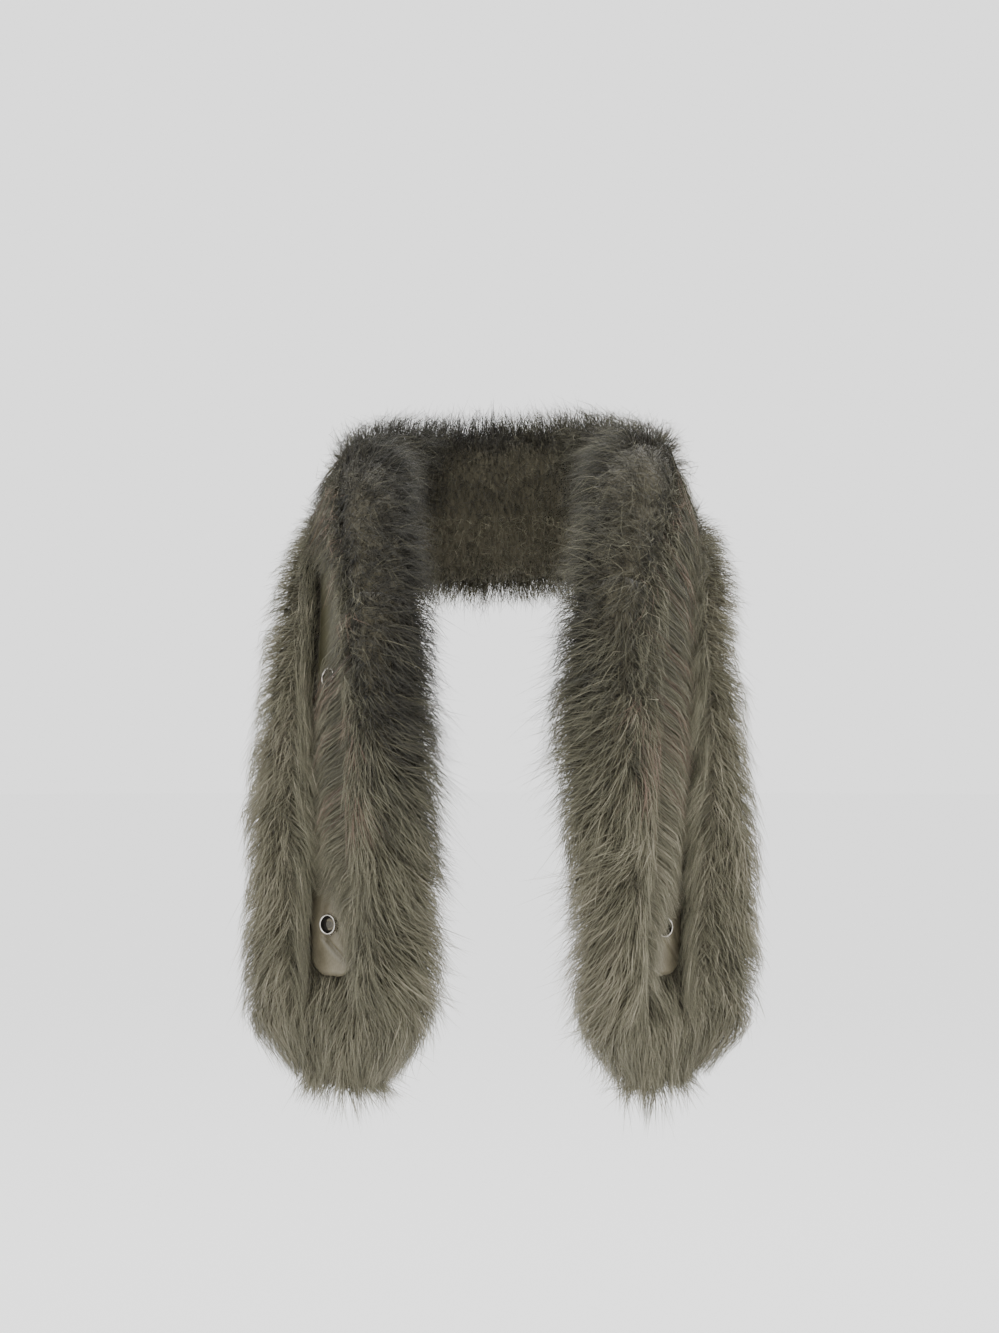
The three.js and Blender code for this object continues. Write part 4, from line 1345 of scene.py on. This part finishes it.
class StageSettings(bpy.types.PropertyGroup):
    drop: size("Floor drop", "How far the floor lies under the nape", 700.0)
    floor_dark: colour("Floor, dark", "Darker grain of the floor", "#f9f9f9")
    floor_light: colour("Floor, light", "Main colour of the floor", "#fbfbfb")
    backdrop: colour("Backdrop", "Colour of the pale surroundings", "#ffffff")
    key: bpy.props.FloatProperty(
        name="Key light", description="Power of the key light", default=42.0, min=0.0, unit="POWER"
    )
    ambient: bpy.props.FloatProperty(
        name="Ambient", description="Strength of the pale surroundings", default=1.9, min=0.0
    )


class COLLAR_OT_pelt(bpy.types.Operator):
    """Adds the pelt with its dense down, pieced in three stretches"""

    bl_idname = "collar.pelt"
    bl_label = "Pelt"

    def execute(self, context):
        settings = context.scene.collar_pelt
        finish = pelt_material(settings)
        for stretch in STRETCHES:
            make_pelt(stretch, settings, finish)
        return {"FINISHED"}


class COLLAR_OT_down_hair(bpy.types.Operator):
    """Adds the short dense underfur"""

    bl_idname = "collar.down_hair"
    bl_label = "Down hair"

    def execute(self, context):
        settings, depth = context.scene.collar_down, context.scene.collar_pelt.depth
        finish = hair_material("fox_down_hair", settings)
        make_hair(DOWN_PIECES, DOWN_RINGS, DOWN, settings, depth, finish, DOWN_SEED)
        return {"FINISHED"}


class COLLAR_OT_guard_hair(bpy.types.Operator):
    """Adds the long guard hair"""

    bl_idname = "collar.guard_hair"
    bl_label = "Guard hair"

    def execute(self, context):
        settings, depth = context.scene.collar_guard, context.scene.collar_pelt.depth
        finish = hair_material("fox_guard_hair", settings)
        make_hair(GUARD_PIECES, GUARD_RINGS, GUARD, settings, depth, finish, GUARD_SEED)
        return {"FINISHED"}


class COLLAR_OT_sockets(bpy.types.Operator):
    """Adds the metal snap sockets along the groove"""

    bl_idname = "collar.sockets"
    bl_label = "Snap sockets"

    def execute(self, context):
        settings = context.scene.collar_sockets
        finishes = [
            nickel_material(settings),
            # The cup's wall carries painted shade
            recess_material("nickel_cup_wall", settings.wall_shade_dark, settings.wall_shade_light),
            recess_material("nickel_cup_floor", settings.floor_dark, settings.floor_light),
        ]
        for number, distance in enumerate(SNAPS, 1):
            mesh = socket_mesh(f"socket_{number}", distance, settings.scale)
            add_piece(f"socket_{number}", mesh, finishes, f"snap_{number}")
        return {"FINISHED"}


class COLLAR_OT_tape(bpy.types.Operator):
    """Adds the satin tape that the snap sockets are set in"""

    bl_idname = "collar.tape"
    bl_label = "Tape"

    def execute(self, context):
        settings = context.scene.collar_tape
        make_tape(settings, tape_material(settings))
        return {"FINISHED"}


class COLLAR_OT_stage(bpy.types.Operator):
    """Adds the floor, the lights and the camera"""

    bl_idname = "collar.stage"
    bl_label = "Stage"

    def execute(self, context):
        make_stage(context.scene.collar_stage)
        return {"FINISHED"}


OPERATORS = (
    COLLAR_OT_stage,
    COLLAR_OT_pelt,
    COLLAR_OT_down_hair,
    COLLAR_OT_guard_hair,
    COLLAR_OT_sockets,
    COLLAR_OT_tape,
)
GROUPS = {
    "collar_stage": StageSettings,
    "collar_pelt": PeltSettings,
    "collar_down": DownSettings,
    "collar_guard": GuardSettings,
    "collar_sockets": SocketSettings,
    "collar_tape": TapeSettings,
}


class COLLAR_PT_sidebar(bpy.types.Panel):
    bl_label = "Fur Collar Wrap"
    bl_idname = "COLLAR_PT_sidebar"
    bl_space_type = "VIEW_3D"
    bl_region_type = "UI"
    bl_category = "Collar"

    def draw(self, context):
        for operator, (name, settings) in zip(OPERATORS, GROUPS.items()):
            box = self.layout.box()
            box.operator(operator.bl_idname)
            for key in settings.__annotations__:
                box.prop(getattr(context.scene, name), key)


CLASSES = (*GROUPS.values(), *OPERATORS, COLLAR_PT_sidebar)


def register():
    for made in CLASSES:
        bpy.utils.register_class(made)
    for name, settings in GROUPS.items():
        setattr(bpy.types.Scene, name, bpy.props.PointerProperty(type=settings))


def unregister():
    for name in GROUPS:
        delattr(bpy.types.Scene, name)
    for made in reversed(CLASSES):
        bpy.utils.unregister_class(made)


def main():
    register()
    for operator in OPERATORS:
        group, name = operator.bl_idname.split(".")
        getattr(getattr(bpy.ops, group), name)()


if __name__ == "__main__":
    main()
